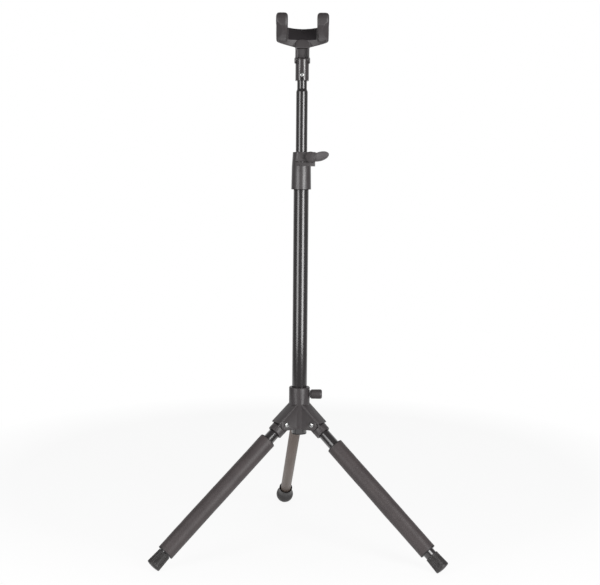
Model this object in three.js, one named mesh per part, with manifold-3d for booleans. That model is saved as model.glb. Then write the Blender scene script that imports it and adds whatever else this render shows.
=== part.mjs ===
// A folding tripod instrument stand with a neck yoke: every separate piece is a named mesh.
// Millimetres, +Z up, +X to the right and -Y to the front. The floor is Z = 0.
import * as THREE from "three";
import { mergeVertices } from "three/addons/utils/BufferGeometryUtils.js";
import Module from "manifold-3d";

const wasm = await Module();
wasm.setup();

// Clearances between neighbouring pieces.
const SEAT_GAP = 0.3;
const SLIDE_GAP = 0.2;
const TURN_GAP = 0.15;
const FLOOR_FLAT = 0.5;

// Cutting shapes run past the face that they open, or well beyond the piece.
const PAST = 1;
const FAR = 50;

// Small chamfers on screws and moulded edges.
const SMALL_CHAMFER = 0.8;

// Legs: three tubes that fold at the hub.
const LEG_ANGLE = THREE.MathUtils.degToRad(41.3);
const LEFT_LEG_AZIMUTH = THREE.MathUtils.degToRad(210);
const RIGHT_LEG_AZIMUTH = THREE.MathUtils.degToRad(330);
const REAR_LEG_AZIMUTH = THREE.MathUtils.degToRad(96);
const LEG_LENGTH = 349.8;
const LEG_TUBE_DIAMETER = 19;
const LEG_TUBE_WALL = 1.2;
const LEG_PIVOT_DISTANCE = 41;

// Knuckles: the moulded end of each leg, with a tongue inside the hub and a collar round the tube.
const KNUCKLE_DIAMETER = 25.5;
const KNUCKLE_END_DISTANCE = 62.4;
const KNUCKLE_TUBE_DEPTH = 8.4;
const TONGUE_WIDTH = 19.4;
const TONGUE_ROUND_RADIUS = 9.3;
const KNUCKLE_CHAMFER = 0.8;

// Foam sleeves on the front legs. A sleeve fills the leg between its knuckle and its cap, less a stretch of
// bare tube at each end.
const FOAM_DIAMETER = 28;
const FOAM_EDGE_RADIUS = 1.2;
const LEFT_FOAM_TOP_BARE = 16.3;
const LEFT_FOAM_CAP_BARE = 1.1;
const RIGHT_FOAM_TOP_BARE = 27.6;
const RIGHT_FOAM_CAP_BARE = 7.8;

// Ribbed end caps of the front legs.
const CAP_LENGTH = 26.2;
const CAP_MOUTH_DIAMETER = 21.6;
const CAP_END_DIAMETER = 24;
const CAP_END_THICKNESS = 4;
const CAP_FLANGE_LENGTH = 3.6;
const CAP_CHAMFER = 1.2;
const CAP_DOME = 1.4;
const CAP_RIB_COUNT = 20;
const CAP_RIB_HEIGHT = 0.5;
const CAP_RIB_TOP_SHARE = 0.25;
const CAP_RIB_FOOT_SHARE = 0.4;

// Round rubber foot of the rear leg.
const FOOT_BALL_DIAMETER = 32;
const FOOT_SLEEVE_LENGTH = 28;
const FOOT_MOUTH_DIAMETER = 24.5;
const FOOT_MOUTH_FLARE = 1.4;
const FOOT_MOUTH_DEPTH = 3;
const FOOT_NECK_ANGLE = THREE.MathUtils.degToRad(38);
const FOOT_BALL_STEPS = 7;

// Hub moulding. Heights are measured from the point where the legs' lines meet the column's axis.
const HUB_BOTTOM = -36.7;
const HUB_SLEEVE_DIAMETER = 33.2;
const HUB_COLLAR_DIAMETER = 34.5;
const HUB_COLLAR_BOTTOM = 4.7;
const HUB_COLLAR_TOP = 32.6;
const HUB_COLLAR_CHAMFER = 0.8;
const CHEEK_THICKNESS = 1.9;
const CHANNEL_BACK_WALL = 1;
const ROOF_END_DISTANCE = 49.5;
const ROOF_THICKNESS = 3;
const ROOF_OVERHANG = 1.5;
const ROOF_EDGE_RADIUS = 2.6;

// Leg pivot screws and nuts.
const PIVOT_SCREW_DIAMETER = 4;
const PIVOT_HEAD_DIAMETER = 7.4;
const PIVOT_HEAD_HEIGHT = 2.4;
const PIVOT_NUT_WIDTH = 7;
const PIVOT_NUT_HEIGHT = 3.2;
const CROSS_SLOT_LENGTH = 4;
const CROSS_SLOT_WIDTH = 1;
const CROSS_SLOT_DEPTH = 1.2;
// The domed outline of a screw's head, as shares of its radius and height.
const PAN_HEAD = [[1, 0], [1, 0.45], [0.82, 0.82], [0.5, 1], [0, 1]];

// Hub thumb knob, on the right of the hub's collar.
const KNOB_HEIGHT = 20.2;
const KNOB_DIAMETER = 16;
const KNOB_LENGTH = 18.1;
const KNOB_NECK_DIAMETER = 12.6;
const KNOB_NECK_LENGTH = 2.1;
const KNOB_CHAMFER = 1.3;
const KNOB_EDGE = 0.6;
const KNOB_DRAFT = 0.2;
const KNOB_SCREW_DIAMETER = 6;
const KNOB_SCREW_GRIP = 12;

// Column: a lower tube in the hub and an upper tube that slides in it.
const LOWER_TUBE_DIAMETER = 25;
const LOWER_TUBE_WALL = 1.5;
const LOWER_TUBE_BOTTOM = -45.1;
const LOWER_TUBE_LENGTH = 442;
const TUBE_PLUG_FLANGE = 1.2;
const TUBE_PLUG_CHAMFER = 0.5;
const TUBE_PLUG_DEPTH = 12;
const TUBE_PLUG_WALL = 2;
const UPPER_TUBE_DIAMETER = 19;
const UPPER_TUBE_WALL = 1.2;
const UPPER_TUBE_LENGTH = 330;
const UPPER_TUBE_TOP = 560.7;
const UPPER_NECK_DIAMETER = 16;
const UPPER_NECK_LENGTH = 36.3;
const SWAGE_LENGTH = 5.9;
const GLIDE_BUSH_LENGTH = 30;
const GLIDE_BUSH_LIP = 2;

// Height clamp on the lower tube's top end.
const CLAMP_GRIP = 36;
const CLAMP_SLEEVE_LENGTH = 37.9;
const CLAMP_BOTTOM_DIAMETER = 32.6;
const CLAMP_SLEEVE_TOP_DIAMETER = 31.2;
const CLAMP_TOP_DIAMETER = 28.2;
const CLAMP_RING_FRONT = 12.3;
const CLAMP_HEIGHT = 60.6;
const CLAMP_SLOT_HEIGHT = 44.1;
const CLAMP_SLOT_WIDTH = 0.9;
const CLAMP_SLOT_LEFT = -9.5;
const CLAMP_SPLIT = 2;
const EAR_REACH = 22.5;
const EAR_BACK = 9;
const EAR_EDGE_RADIUS = 1.5;
const CLAMP_BOLT_DIAMETER = 6;
const CLAMP_BOLT_DISTANCE = 14.5;
const CLAMP_BOLT_HEIGHT = 52.4;
const CLAMP_NUT_WIDTH = 10;
const CLAMP_NUT_HEIGHT = 5;
const CLAMP_BOLT_TIP = 1;

// Clamp lever: a round boss on the bolt and a dished oval thumb paddle.
const LEVER_BOSS_DIAMETER = 17.4;
const LEVER_BOSS_LENGTH = 6.6;
const LEVER_THICKNESS = 4.6;
const LEVER_STANDOFF = 0.9;
const LEVER_BOSS_STEP = 1.5;
const LEVER_CROWN = 3.2;
const PADDLE_LENGTH = 29.7;
const PADDLE_WIDTH = 15;
const PADDLE_REACH = 15.9;
const PADDLE_RISE = 1;
const PADDLE_TILT = THREE.MathUtils.degToRad(16.5);
const PADDLE_DISH_REACH = 16.4;
const PADDLE_DISH_LENGTH = 26;
const PADDLE_DISH_WIDTH = 12.2;
const PADDLE_DISH_DEPTH = 1.5;
// The arcs of the boss and of the paddle's oval that the lever's outline keeps, in degrees.
const BOSS_ARC = [82, 298];
const PADDLE_ARC = [-112, 104];

// Yoke socket on the upper tube's neck.
const SOCKET_DIAMETER = 22.1;
const SOCKET_DEPTH = 24.1;
const SOCKET_TOP = 36.8;
const SOCKET_NOTCH_WIDTH = 5;
const SOCKET_NOTCH_HEIGHT = 4.2;
const SOCKET_SCREW_HEIGHT = 8.8;
const SOCKET_SCREW_DIAMETER = 3.5;
const SOCKET_HEAD_DIAMETER = 7;
const SOCKET_HEAD_HEIGHT = 1.8;
const SOCKET_SCREW_LENGTH = 8;
const SOCKET_SPOT_DEPTH = 1;
const SOCKET_NOSE_DROP = 1.6;
const SOCKET_NOSE_SLOPE = 2;

// Yoke hinge: two ears of the yoke beside the socket's flats, with a cross pin.
const HINGE_DROP = 4.6;
const HINGE_PIN_DIAMETER = 4;
const EAR_INNER_HALF = 9.3;
const EAR_OUTER_HALF = 11.5;
const EAR_BOSS_HALF = 12.9;
const EAR_BOSS_RADIUS = 4.6;
const STEM_FRONT = 5;
const STEM_BACK = 8;
const STEM_WEB_FRONT = 3.5;
const STEM_WEB_RISE = 4.9;
const STEM_FLARE_BOTTOM = 20;
const STEM_FLARE_TOP = 36;

// Yoke: a curved back wall and two horns that reach forward and up.
const YOKE_WALL_BOTTOM = 22;
const YOKE_WALL_TOP = 52.4;
const YOKE_WALL_THICKNESS = 7;
const YOKE_WALL_RADIUS = 55;
const YOKE_WIDTH = 84.5;
const YOKE_CORNER_RISE = 5.2;
const YOKE_WALL_FACETS = 13;
const YOKE_CORNER_ROUND = 4;
const YOKE_TOP_CHAMFER = 1;
const YOKE_TOP_DIP = 1.4;
const YOKE_BEVEL_HEIGHT = 11;
const YOKE_BEVEL_DEPTH = 4.6;
const STEM_LAP = 4.2;
const YOKE_FLAT_BOTTOM_HALF = 11.5;
const HORN_WIDTH = 19;
const HORN_ROOT_SHARE = 0.72;
const HORN_EDGE = 3.4;
const HORN_REACH = 41;
const HORN_TOP = 71.4;
const HORN_ROOT = 2;
const HORN_UNDER_RISE = 2;
const HORN_BELLY = 12;
const HORN_CHIN = 8;
const HORN_TIP_HEIGHT = 16;
const HORN_TIP_LEAN = 1.5;
const HORN_TIP_ROUND = 5;
const HORN_FULL_WIDTH_REACH = 28.7;
const HORN_CORNER_RADIUS = 6.6;
// The slanted flank at each horn's outer front edge: it starts on the edge at a height and runs down and
// inwards. The normal's parts point outwards, to the back and up.
const HORN_FLANK_START = 57;
const HORN_FLANK_NORMAL = [0.487, -0.606, -0.63];

// Facet counts of round forms.
const TUBE_SIDES = 32;
const SMALL_SIDES = 16;
const SCREW_SIDES = 12;

// Sizes worked out from the driving sizes.
const legRadius = LEG_TUBE_DIAMETER / 2;
const sinLeg = Math.sin(LEG_ANGLE);
const cosLeg = Math.cos(LEG_ANGLE);
const capRadius = CAP_END_DIAMETER / 2;
const hubHeight = (LEG_LENGTH - CAP_CHAMFER) * sinLeg + capRadius * cosLeg - FLOOR_FLAT;
const ballRadius = FOOT_BALL_DIAMETER / 2;
const ballDistance = (hubHeight - ballRadius + FLOOR_FLAT) / sinLeg;
const capStart = LEG_LENGTH - CAP_LENGTH;
const tongueHalf = TONGUE_WIDTH / 2;
const channelHalf = tongueHalf + SEAT_GAP;
const cheekHalf = channelHalf + CHEEK_THICKNESS;
const roofHalf = cheekHalf + ROOF_OVERHANG;
const roofUnder = TONGUE_ROUND_RADIUS + SEAT_GAP;
const roofTop = roofUnder + ROOF_THICKNESS;
const pivotRadius = LEG_PIVOT_DISTANCE * cosLeg;
const pivotHeight = -LEG_PIVOT_DISTANCE * sinLeg;
const cheekCorner = pivotHeight - HUB_BOTTOM;
const collarStart = LEG_PIVOT_DISTANCE + cheekCorner + 2 * SEAT_GAP;
const knuckleBoreStart = KNUCKLE_END_DISTANCE - KNUCKLE_TUBE_DEPTH;
const lowerRadius = LOWER_TUBE_DIAMETER / 2;
const lowerInner = lowerRadius - LOWER_TUBE_WALL;
const upperRadius = UPPER_TUBE_DIAMETER / 2;
const upperInner = upperRadius - UPPER_TUBE_WALL;
const neckRadius = UPPER_NECK_DIAMETER / 2;
const lowerTubeTop = LOWER_TUBE_BOTTOM + LOWER_TUBE_LENGTH;
const clampBottom = lowerTubeTop - CLAMP_GRIP;
const upperTubeBottom = UPPER_TUBE_TOP - UPPER_TUBE_LENGTH;
const socketBottom = UPPER_TUBE_TOP - SOCKET_DEPTH + SEAT_GAP;
const socketRadius = SOCKET_DIAMETER / 2;
const hingeHeight = socketBottom + SOCKET_TOP - HINGE_DROP;
const stemTop = YOKE_WALL_BOTTOM + STEM_LAP;
const wallCentre = STEM_BACK - YOKE_WALL_RADIUS;
const degrees = THREE.MathUtils.degToRad;

// A hexagon's corner radius from its width across the flats.
const hexCorner = (width) => width / 2 / Math.cos(Math.PI / 6);

// A closed mesh as a solid that can be joined and cut.
function solid(geometry) {
  const bare = geometry.clone();
  bare.deleteAttribute("normal");
  bare.deleteAttribute("uv");
  const merged = mergeVertices(bare, 1e-4);
  const vertProperties = merged.attributes.position.array;
  const triVerts = new Uint32Array(merged.index.array);
  return new wasm.Manifold(new wasm.Mesh({ numProp: 3, vertProperties, triVerts }));
}

// A solid's triangles as a geometry.
function geometryOf(body) {
  const mesh = body.getMesh();
  const geometry = new THREE.BufferGeometry();
  geometry.setAttribute("position", new THREE.BufferAttribute(new Float32Array(mesh.vertProperties), 3));
  geometry.setIndex(new THREE.BufferAttribute(new Uint32Array(mesh.triVerts), 1));
  const flat = geometry.toNonIndexed();
  flat.computeVertexNormals();
  return flat;
}

function joined(...geometries) {
  return geometryOf(geometries.map(solid).reduce((whole, next) => whole.add(next)));
}

function cut(geometry, ...tools) {
  return geometryOf(tools.map(solid).reduce((whole, tool) => whole.subtract(tool), solid(geometry)));
}

function common(geometry, other) {
  return geometryOf(solid(geometry).intersect(solid(other)));
}

// A round body about Z from its outline, a list of [radius, height] that runs counter-clockwise.
function turned(outline, sides) {
  const points = outline.map(([radius, height]) => new THREE.Vector2(radius, height));
  return new THREE.LatheGeometry(points, sides).rotateX(Math.PI / 2);
}

// A ring about Z with square edges.
function ring(inner, outer, bottom, top, sides) {
  const outline = [[inner, bottom], [outer, bottom], [outer, top], [inner, top], [inner, bottom]];
  return turned(outline, sides);
}

// A round bar along Z from bottom to top.
function bar(radius, bottom, top, sides) {
  const geometry = new THREE.CylinderGeometry(radius, radius, top - bottom, sides);
  return geometry.rotateX(Math.PI / 2).translate(0, 0, (bottom + top) / 2);
}

// A box from its lowest and highest corners.
function block(x0, y0, z0, x1, y1, z1) {
  const geometry = new THREE.BoxGeometry(x1 - x0, y1 - y0, z1 - z0);
  return geometry.translate((x0 + x1) / 2, (y0 + y1) / 2, (z0 + z1) / 2);
}

// An outline in X and Z, extruded along Y from y0 to y1.
function slabXZ(shape, y0, y1, curveSegments = 8) {
  const options = { depth: y1 - y0, bevelEnabled: false, curveSegments };
  return new THREE.ExtrudeGeometry(shape, options).rotateX(Math.PI / 2).translate(0, y1, 0);
}

// An outline in Y and Z, extruded along X from x0 to x1.
function slabYZ(shape, x0, x1, curveSegments = 8) {
  const options = { depth: x1 - x0, bevelEnabled: false, curveSegments };
  const geometry = new THREE.ExtrudeGeometry(shape, options);
  return geometry.rotateY(Math.PI / 2).rotateX(Math.PI / 2).translate(x0, 0, 0);
}

// A rectangle with rounded corners, as a shape.
function roundedRectangle(x0, y0, x1, y1, radius) {
  const shape = new THREE.Shape();
  shape.moveTo(x0 + radius, y0);
  shape.lineTo(x1 - radius, y0);
  shape.absarc(x1 - radius, y0 + radius, radius, -Math.PI / 2, 0);
  shape.lineTo(x1, y1 - radius);
  shape.absarc(x1 - radius, y1 - radius, radius, 0, Math.PI / 2);
  shape.lineTo(x0 + radius, y1);
  shape.absarc(x0 + radius, y1 - radius, radius, Math.PI / 2, Math.PI);
  shape.lineTo(x0, y0 + radius);
  shape.absarc(x0 + radius, y0 + radius, radius, Math.PI, 1.5 * Math.PI);
  return shape;
}

// Turns a body made along Z so that it runs along X or Y, and the other way round.
const alongX = (geometry) => geometry.rotateY(Math.PI / 2);
const alongY = (geometry) => geometry.rotateX(-Math.PI / 2);

// The two bars of a cross slot in a screw head whose top is at the given height.
function crossSlot(top) {
  const half = CROSS_SLOT_LENGTH / 2;
  const side = CROSS_SLOT_WIDTH / 2;
  const bottom = top - CROSS_SLOT_DEPTH;
  const above = top + PAST;
  const level = block(-half, -side, bottom, half, side, above);
  const upright = block(-side, -half, bottom, side, half, above);
  return joined(level, upright);
}

// A screw along Z: its domed head stands above Z = 0 and its shank runs below.
function panHeadScrew(shankDiameter, shankLength, headDiameter, headHeight) {
  const shank = shankDiameter / 2;
  const head = headDiameter / 2;
  const dome = PAN_HEAD.map(([out, up]) => [out * head, up * headHeight]);
  const outline = [[0, -shankLength], [shank, -shankLength], [shank, 0], ...dome];
  return cut(turned(outline, SMALL_SIDES), crossSlot(headHeight));
}

// A hexagon nut along Z from 0 to its height, with its hole.
function hexNut(width, height, holeRadius) {
  return cut(bar(hexCorner(width), 0, height, 6), bar(holeRadius, -PAST, height + PAST, SCREW_SIDES));
}

// The plane of a leg: s runs out along the leg from the column's axis and k stands square above it.
// These give the distance from the column and the height above the legs' meeting point.
const legOut = (s, k) => s * cosLeg + k * sinLeg;
const legUp = (s, k) => -s * sinLeg + k * cosLeg;

// One leg channel of the hub, in a frame whose X points along the leg's azimuth: two cheeks.
function hubCheeks() {
  const shape = new THREE.Shape();
  shape.moveTo(0, HUB_BOTTOM);
  shape.lineTo(pivotRadius, HUB_BOTTOM);
  shape.absarc(pivotRadius, pivotHeight, cheekCorner, -Math.PI / 2, Math.PI / 2 - LEG_ANGLE);
  const roofMiddle = roofUnder + ROOF_THICKNESS / 2;
  shape.lineTo(legOut(LEG_PIVOT_DISTANCE, roofMiddle), legUp(LEG_PIVOT_DISTANCE, roofMiddle));
  shape.lineTo(0, legUp(0, roofMiddle) + legOut(0, roofMiddle) * Math.tan(LEG_ANGLE));
  return slabXZ(shape, -cheekHalf, cheekHalf, 4);
}

// The roof over one leg: a rounded plate along the leg that overhangs the cheeks.
function hubRoof() {
  const shape = new THREE.Shape();
  shape.moveTo(-roofUnder, -roofHalf);
  shape.lineTo(-roofUnder, roofHalf);
  shape.lineTo(-roofTop + ROOF_EDGE_RADIUS, roofHalf);
  const corner = roofHalf - ROOF_EDGE_RADIUS;
  shape.absarc(-roofTop + ROOF_EDGE_RADIUS, corner, ROOF_EDGE_RADIUS, Math.PI / 2, Math.PI);
  shape.lineTo(-roofTop, -corner);
  shape.absarc(-roofTop + ROOF_EDGE_RADIUS, -corner, ROOF_EDGE_RADIUS, Math.PI, 1.5 * Math.PI);
  const options = { depth: ROOF_END_DISTANCE, bevelEnabled: false, curveSegments: 2 };
  return alongX(new THREE.ExtrudeGeometry(shape, options)).rotateY(LEG_ANGLE);
}

// The space of one leg channel, between the cheeks and under the roof.
function hubChannel() {
  const inner = HUB_SLEEVE_DIAMETER / 2 + CHANNEL_BACK_WALL;
  const deep = HUB_BOTTOM - FAR;
  const far = KNUCKLE_END_DISTANCE + FAR;
  const shape = new THREE.Shape();
  shape.moveTo(inner, deep);
  shape.lineTo(legOut(far, roofUnder), deep);
  shape.lineTo(legOut(far, roofUnder), legUp(far, roofUnder));
  shape.lineTo(inner, legUp(0, roofUnder) - (inner - legOut(0, roofUnder)) * Math.tan(LEG_ANGLE));
  return slabXZ(shape, -channelHalf, channelHalf);
}

// A bar through a leg's pivot, square to the leg's plane.
function pivotBar(radius, from, to, sides) {
  return alongY(bar(radius, from, to, sides)).translate(pivotRadius, 0, pivotHeight);
}

// The hub moulding: a sleeve and collar for the column, and a roofed channel for each leg.
function hub() {
  const sleeve = HUB_SLEEVE_DIAMETER / 2;
  const collar = HUB_COLLAR_DIAMETER / 2;
  const core = turned([
    [0, HUB_BOTTOM], [sleeve, HUB_BOTTOM], [sleeve, HUB_COLLAR_BOTTOM], [collar, HUB_COLLAR_BOTTOM],
    [collar, HUB_COLLAR_TOP - HUB_COLLAR_CHAMFER], [collar - HUB_COLLAR_CHAMFER, HUB_COLLAR_TOP],
    [0, HUB_COLLAR_TOP],
  ], TUBE_SIDES);
  const azimuths = [LEFT_LEG_AZIMUTH, RIGHT_LEG_AZIMUTH, REAR_LEG_AZIMUTH];
  const channels = azimuths.flatMap((turn) => [hubCheeks().rotateZ(turn), hubRoof().rotateZ(turn)]);
  const screwHole = PIVOT_SCREW_DIAMETER / 2 + TURN_GAP;
  const spaces = azimuths.flatMap((turn) => [
    hubChannel().rotateZ(turn),
    pivotBar(screwHole, -2 * cheekHalf, 2 * cheekHalf, SCREW_SIDES).rotateZ(turn),
  ]);
  const bore = bar(lowerRadius + SLIDE_GAP, HUB_BOTTOM - PAST, HUB_COLLAR_TOP + PAST, TUBE_SIDES);
  const above = bar(2 * collar, HUB_COLLAR_TOP, HUB_COLLAR_TOP + FAR, SCREW_SIDES);
  const screwRadius = KNOB_SCREW_DIAMETER / 2 + TURN_GAP;
  const knobHole = alongX(bar(screwRadius, 0, 2 * collar, SCREW_SIDES)).translate(0, 0, KNOB_HEIGHT);
  return cut(joined(core, ...channels), ...spaces, bore, above, knobHole);
}

// The thumb knob with its neck, along X from the hub's collar.
function hubKnob() {
  const start = HUB_COLLAR_DIAMETER / 2 + SEAT_GAP;
  const shoulder = start + KNOB_NECK_LENGTH;
  const end = shoulder + KNOB_LENGTH;
  const outer = KNOB_DIAMETER / 2;
  const neck = KNOB_NECK_DIAMETER / 2;
  const body = turned([
    [0, start], [neck, start], [neck, shoulder], [outer - KNOB_DRAFT - KNOB_EDGE, shoulder],
    [outer - KNOB_DRAFT, shoulder + KNOB_EDGE], [outer, end - 2 * KNOB_CHAMFER], [outer - KNOB_CHAMFER, end],
    [0, end],
  ], TUBE_SIDES);
  const bore = bar(KNOB_SCREW_DIAMETER / 2 + TURN_GAP, start - PAST, start + KNOB_SCREW_GRIP, SCREW_SIDES);
  return alongX(cut(body, bore));
}

// The knob's screw: its tip meets the lower tube through the hub's wall.
function knobScrew() {
  const tip = lowerRadius + SEAT_GAP;
  const radius = KNOB_SCREW_DIAMETER / 2;
  const end = HUB_COLLAR_DIAMETER / 2 + KNOB_SCREW_GRIP;
  const edge = SMALL_CHAMFER;
  const outline = [[0, tip], [radius - edge, tip], [radius, tip + edge], [radius, end], [0, end]];
  return alongX(turned(outline, SCREW_SIDES));
}

// A leg knuckle along X: the tongue that turns on the pivot, and the collar that holds the tube.
function knuckle() {
  const outline = new THREE.Shape();
  outline.absarc(LEG_PIVOT_DISTANCE, 0, TONGUE_ROUND_RADIUS, Math.PI / 2, 1.5 * Math.PI);
  outline.lineTo(knuckleBoreStart, -TONGUE_ROUND_RADIUS);
  outline.lineTo(knuckleBoreStart, TONGUE_ROUND_RADIUS);
  const tongue = slabXZ(outline, -tongueHalf, tongueHalf, 8);
  const radius = KNUCKLE_DIAMETER / 2;
  const edge = KNUCKLE_CHAMFER;
  const collar = alongX(turned([
    [0, collarStart], [radius - edge, collarStart], [radius, collarStart + edge],
    [radius, KNUCKLE_END_DISTANCE - edge], [radius - edge, KNUCKLE_END_DISTANCE], [0, KNUCKLE_END_DISTANCE],
  ], TUBE_SIDES));
  const bore = bar(legRadius + TURN_GAP, knuckleBoreStart, KNUCKLE_END_DISTANCE + PAST, TUBE_SIDES);
  const hole = bar(PIVOT_SCREW_DIAMETER / 2 + TURN_GAP, -2 * tongueHalf, 2 * tongueHalf, SCREW_SIDES);
  return cut(joined(tongue, collar), alongX(bore), alongY(hole).translate(LEG_PIVOT_DISTANCE, 0, 0));
}

// A leg tube along X, from inside the knuckle to inside its foot.
function legTube(end) {
  const inner = legRadius - LEG_TUBE_WALL;
  return alongX(ring(inner, legRadius, knuckleBoreStart + SEAT_GAP, end, TUBE_SIDES));
}

// A foam sleeve along X round a leg tube, with softened edges and this much bare tube before and after it.
function foamSleeve(topBare, capBare) {
  const inner = legRadius + SLIDE_GAP;
  const outer = FOAM_DIAMETER / 2;
  const edge = FOAM_EDGE_RADIUS;
  const start = KNUCKLE_END_DISTANCE + topBare;
  const end = capStart - capBare;
  return alongX(turned([
    [inner, start], [outer - edge, start], [outer, start + edge], [outer, end - edge], [outer - edge, end],
    [inner, end], [inner, start],
  ], TUBE_SIDES));
}

// A toothed outline of unit radius for the cap's lengthwise ribs.
function ribbedOutline(depth, count) {
  const shape = new THREE.Shape();
  const step = (2 * Math.PI) / count;
  const top = CAP_RIB_TOP_SHARE;
  const foot = CAP_RIB_FOOT_SHARE;
  const tooth = [[-top, 1], [top, 1], [foot, 1 - depth], [1 - foot, 1 - depth]];
  const points = Array.from({ length: count }, (_, i) => tooth.map(([share, r]) => {
    const angle = (i + share) * step;
    return new THREE.Vector2(r * Math.cos(angle), r * Math.sin(angle));
  }));
  return shape.setFromPoints(points.flat());
}

// A front leg's end cap along X: a ribbed cup that widens towards a smooth end with a slight dome.
function legCap() {
  const mouth = CAP_MOUTH_DIAMETER / 2;
  const flangeStart = LEG_LENGTH - CAP_FLANGE_LENGTH;
  const options = { depth: flangeStart - capStart, bevelEnabled: false, curveSegments: 1 };
  const cup = new THREE.ExtrudeGeometry(ribbedOutline(CAP_RIB_HEIGHT / capRadius, CAP_RIB_COUNT), options);
  const place = cup.attributes.position;
  for (let i = 0; i < place.count; i += 1) {
    const radius = THREE.MathUtils.lerp(mouth, capRadius, place.getZ(i) / options.depth);
    place.setXYZ(i, place.getX(i) * radius, place.getY(i) * radius, place.getZ(i) + capStart);
  }
  const flange = turned([
    [0, flangeStart - SLIDE_GAP], [capRadius, flangeStart - SLIDE_GAP], [capRadius, LEG_LENGTH - CAP_CHAMFER],
    [capRadius - CAP_CHAMFER, LEG_LENGTH], [0, LEG_LENGTH + CAP_DOME],
  ], TUBE_SIDES);
  const bore = bar(legRadius + TURN_GAP, capStart - PAST, LEG_LENGTH - CAP_END_THICKNESS, TUBE_SIDES);
  return alongX(cut(joined(cup, flange), bore));
}

// The rear leg's rubber foot along X: a sleeve that swells into a ball.
function rearFoot() {
  const mouth = FOOT_MOUTH_DIAMETER / 2;
  const start = ballDistance - FOOT_SLEEVE_LENGTH;
  const outline = [[0, start], [mouth - SMALL_CHAMFER, start], [mouth, start + SMALL_CHAMFER]];
  const steps = FOOT_BALL_STEPS;
  for (let i = 0; i <= steps; i += 1) {
    const angle = THREE.MathUtils.lerp(-FOOT_NECK_ANGLE, Math.PI / 2, i / steps);
    const radius = i === steps ? 0 : ballRadius * Math.cos(angle);
    outline.push([radius, ballDistance + ballRadius * Math.sin(angle)]);
  }
  const tight = legRadius + TURN_GAP;
  const flare = tight + FOOT_MOUTH_FLARE;
  const bore = turned([
    [0, start - PAST], [flare, start - PAST], [flare, start + FOOT_MOUTH_DEPTH],
    [tight, start + FOOT_MOUTH_DEPTH + FOOT_MOUTH_FLARE], [tight, ballDistance], [0, ballDistance],
  ], TUBE_SIDES);
  return alongX(cut(turned(outline, TUBE_SIDES), bore));
}

// The matrix of a leg's frame in the stand, with X out along the leg.
function legMatrix(azimuth) {
  const turn = new THREE.Matrix4().makeRotationZ(azimuth);
  const dip = new THREE.Matrix4().makeRotationY(LEG_ANGLE);
  return new THREE.Matrix4().makeTranslation(0, 0, hubHeight).multiply(turn).multiply(dip);
}

// Cuts a foot flat where it stands on the floor.
function flattened(geometry, azimuth) {
  const reach = 2 * LEG_LENGTH;
  const ground = block(-reach, -reach, -FAR, reach, reach, 0).applyMatrix4(legMatrix(azimuth).invert());
  return cut(geometry, ground);
}

// The lower tube's end plug: a flange under the tube and a shank inside it.
function tubePlug() {
  const shank = lowerInner - TURN_GAP;
  const top = LOWER_TUBE_BOTTOM - SEAT_GAP;
  const bottom = top - TUBE_PLUG_FLANGE;
  const shankTop = LOWER_TUBE_BOTTOM + TUBE_PLUG_DEPTH;
  return turned([
    [0, bottom], [lowerRadius - TUBE_PLUG_CHAMFER, bottom], [lowerRadius, bottom + TUBE_PLUG_CHAMFER],
    [lowerRadius, top], [shank, top], [shank, shankTop], [shank - TUBE_PLUG_WALL, shankTop],
    [shank - TUBE_PLUG_WALL, top], [0, top],
  ], TUBE_SIDES);
}

// The upper tube, drawn in to a narrower neck at its top.
function upperTube() {
  const neckStart = UPPER_TUBE_TOP - UPPER_NECK_LENGTH;
  const swageStart = neckStart - SWAGE_LENGTH;
  const wall = UPPER_TUBE_WALL;
  const steps = 3;
  const swell = (share) => (1 + Math.cos(Math.PI * share)) / 2;
  const bend = Array.from({ length: steps + 1 }, (_, i) => [
    neckRadius + (upperRadius - neckRadius) * swell(i / steps),
    swageStart + (SWAGE_LENGTH * i) / steps,
  ]);
  const outside = [[upperRadius, upperTubeBottom], ...bend, [neckRadius, UPPER_TUBE_TOP]];
  const inside = outside.map(([radius, height]) => [radius - wall, height]).reverse();
  const tube = turned([...outside, ...inside, outside[0]], TUBE_SIDES);
  const screwLine = socketBottom + SOCKET_SCREW_HEIGHT;
  const screwHole = bar(SOCKET_SCREW_DIAMETER / 2 + TURN_GAP, 0, 2 * neckRadius, SCREW_SIDES);
  return cut(tube, screwHole.rotateX(Math.PI / 2).translate(0, 0, screwLine));
}

// The glide bush round the upper tube's lower end, with a lip under the tube.
function glideBush() {
  const outer = lowerInner - TURN_GAP;
  const inner = upperRadius + TURN_GAP;
  const lipTop = upperTubeBottom - SEAT_GAP;
  const bottom = lipTop - GLIDE_BUSH_LIP;
  const top = bottom + GLIDE_BUSH_LENGTH;
  return turned([
    [upperInner, bottom], [outer, bottom], [outer, top], [inner, top], [inner, lipTop], [upperInner, lipTop],
    [upperInner, bottom],
  ], TUBE_SIDES);
}

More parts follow.
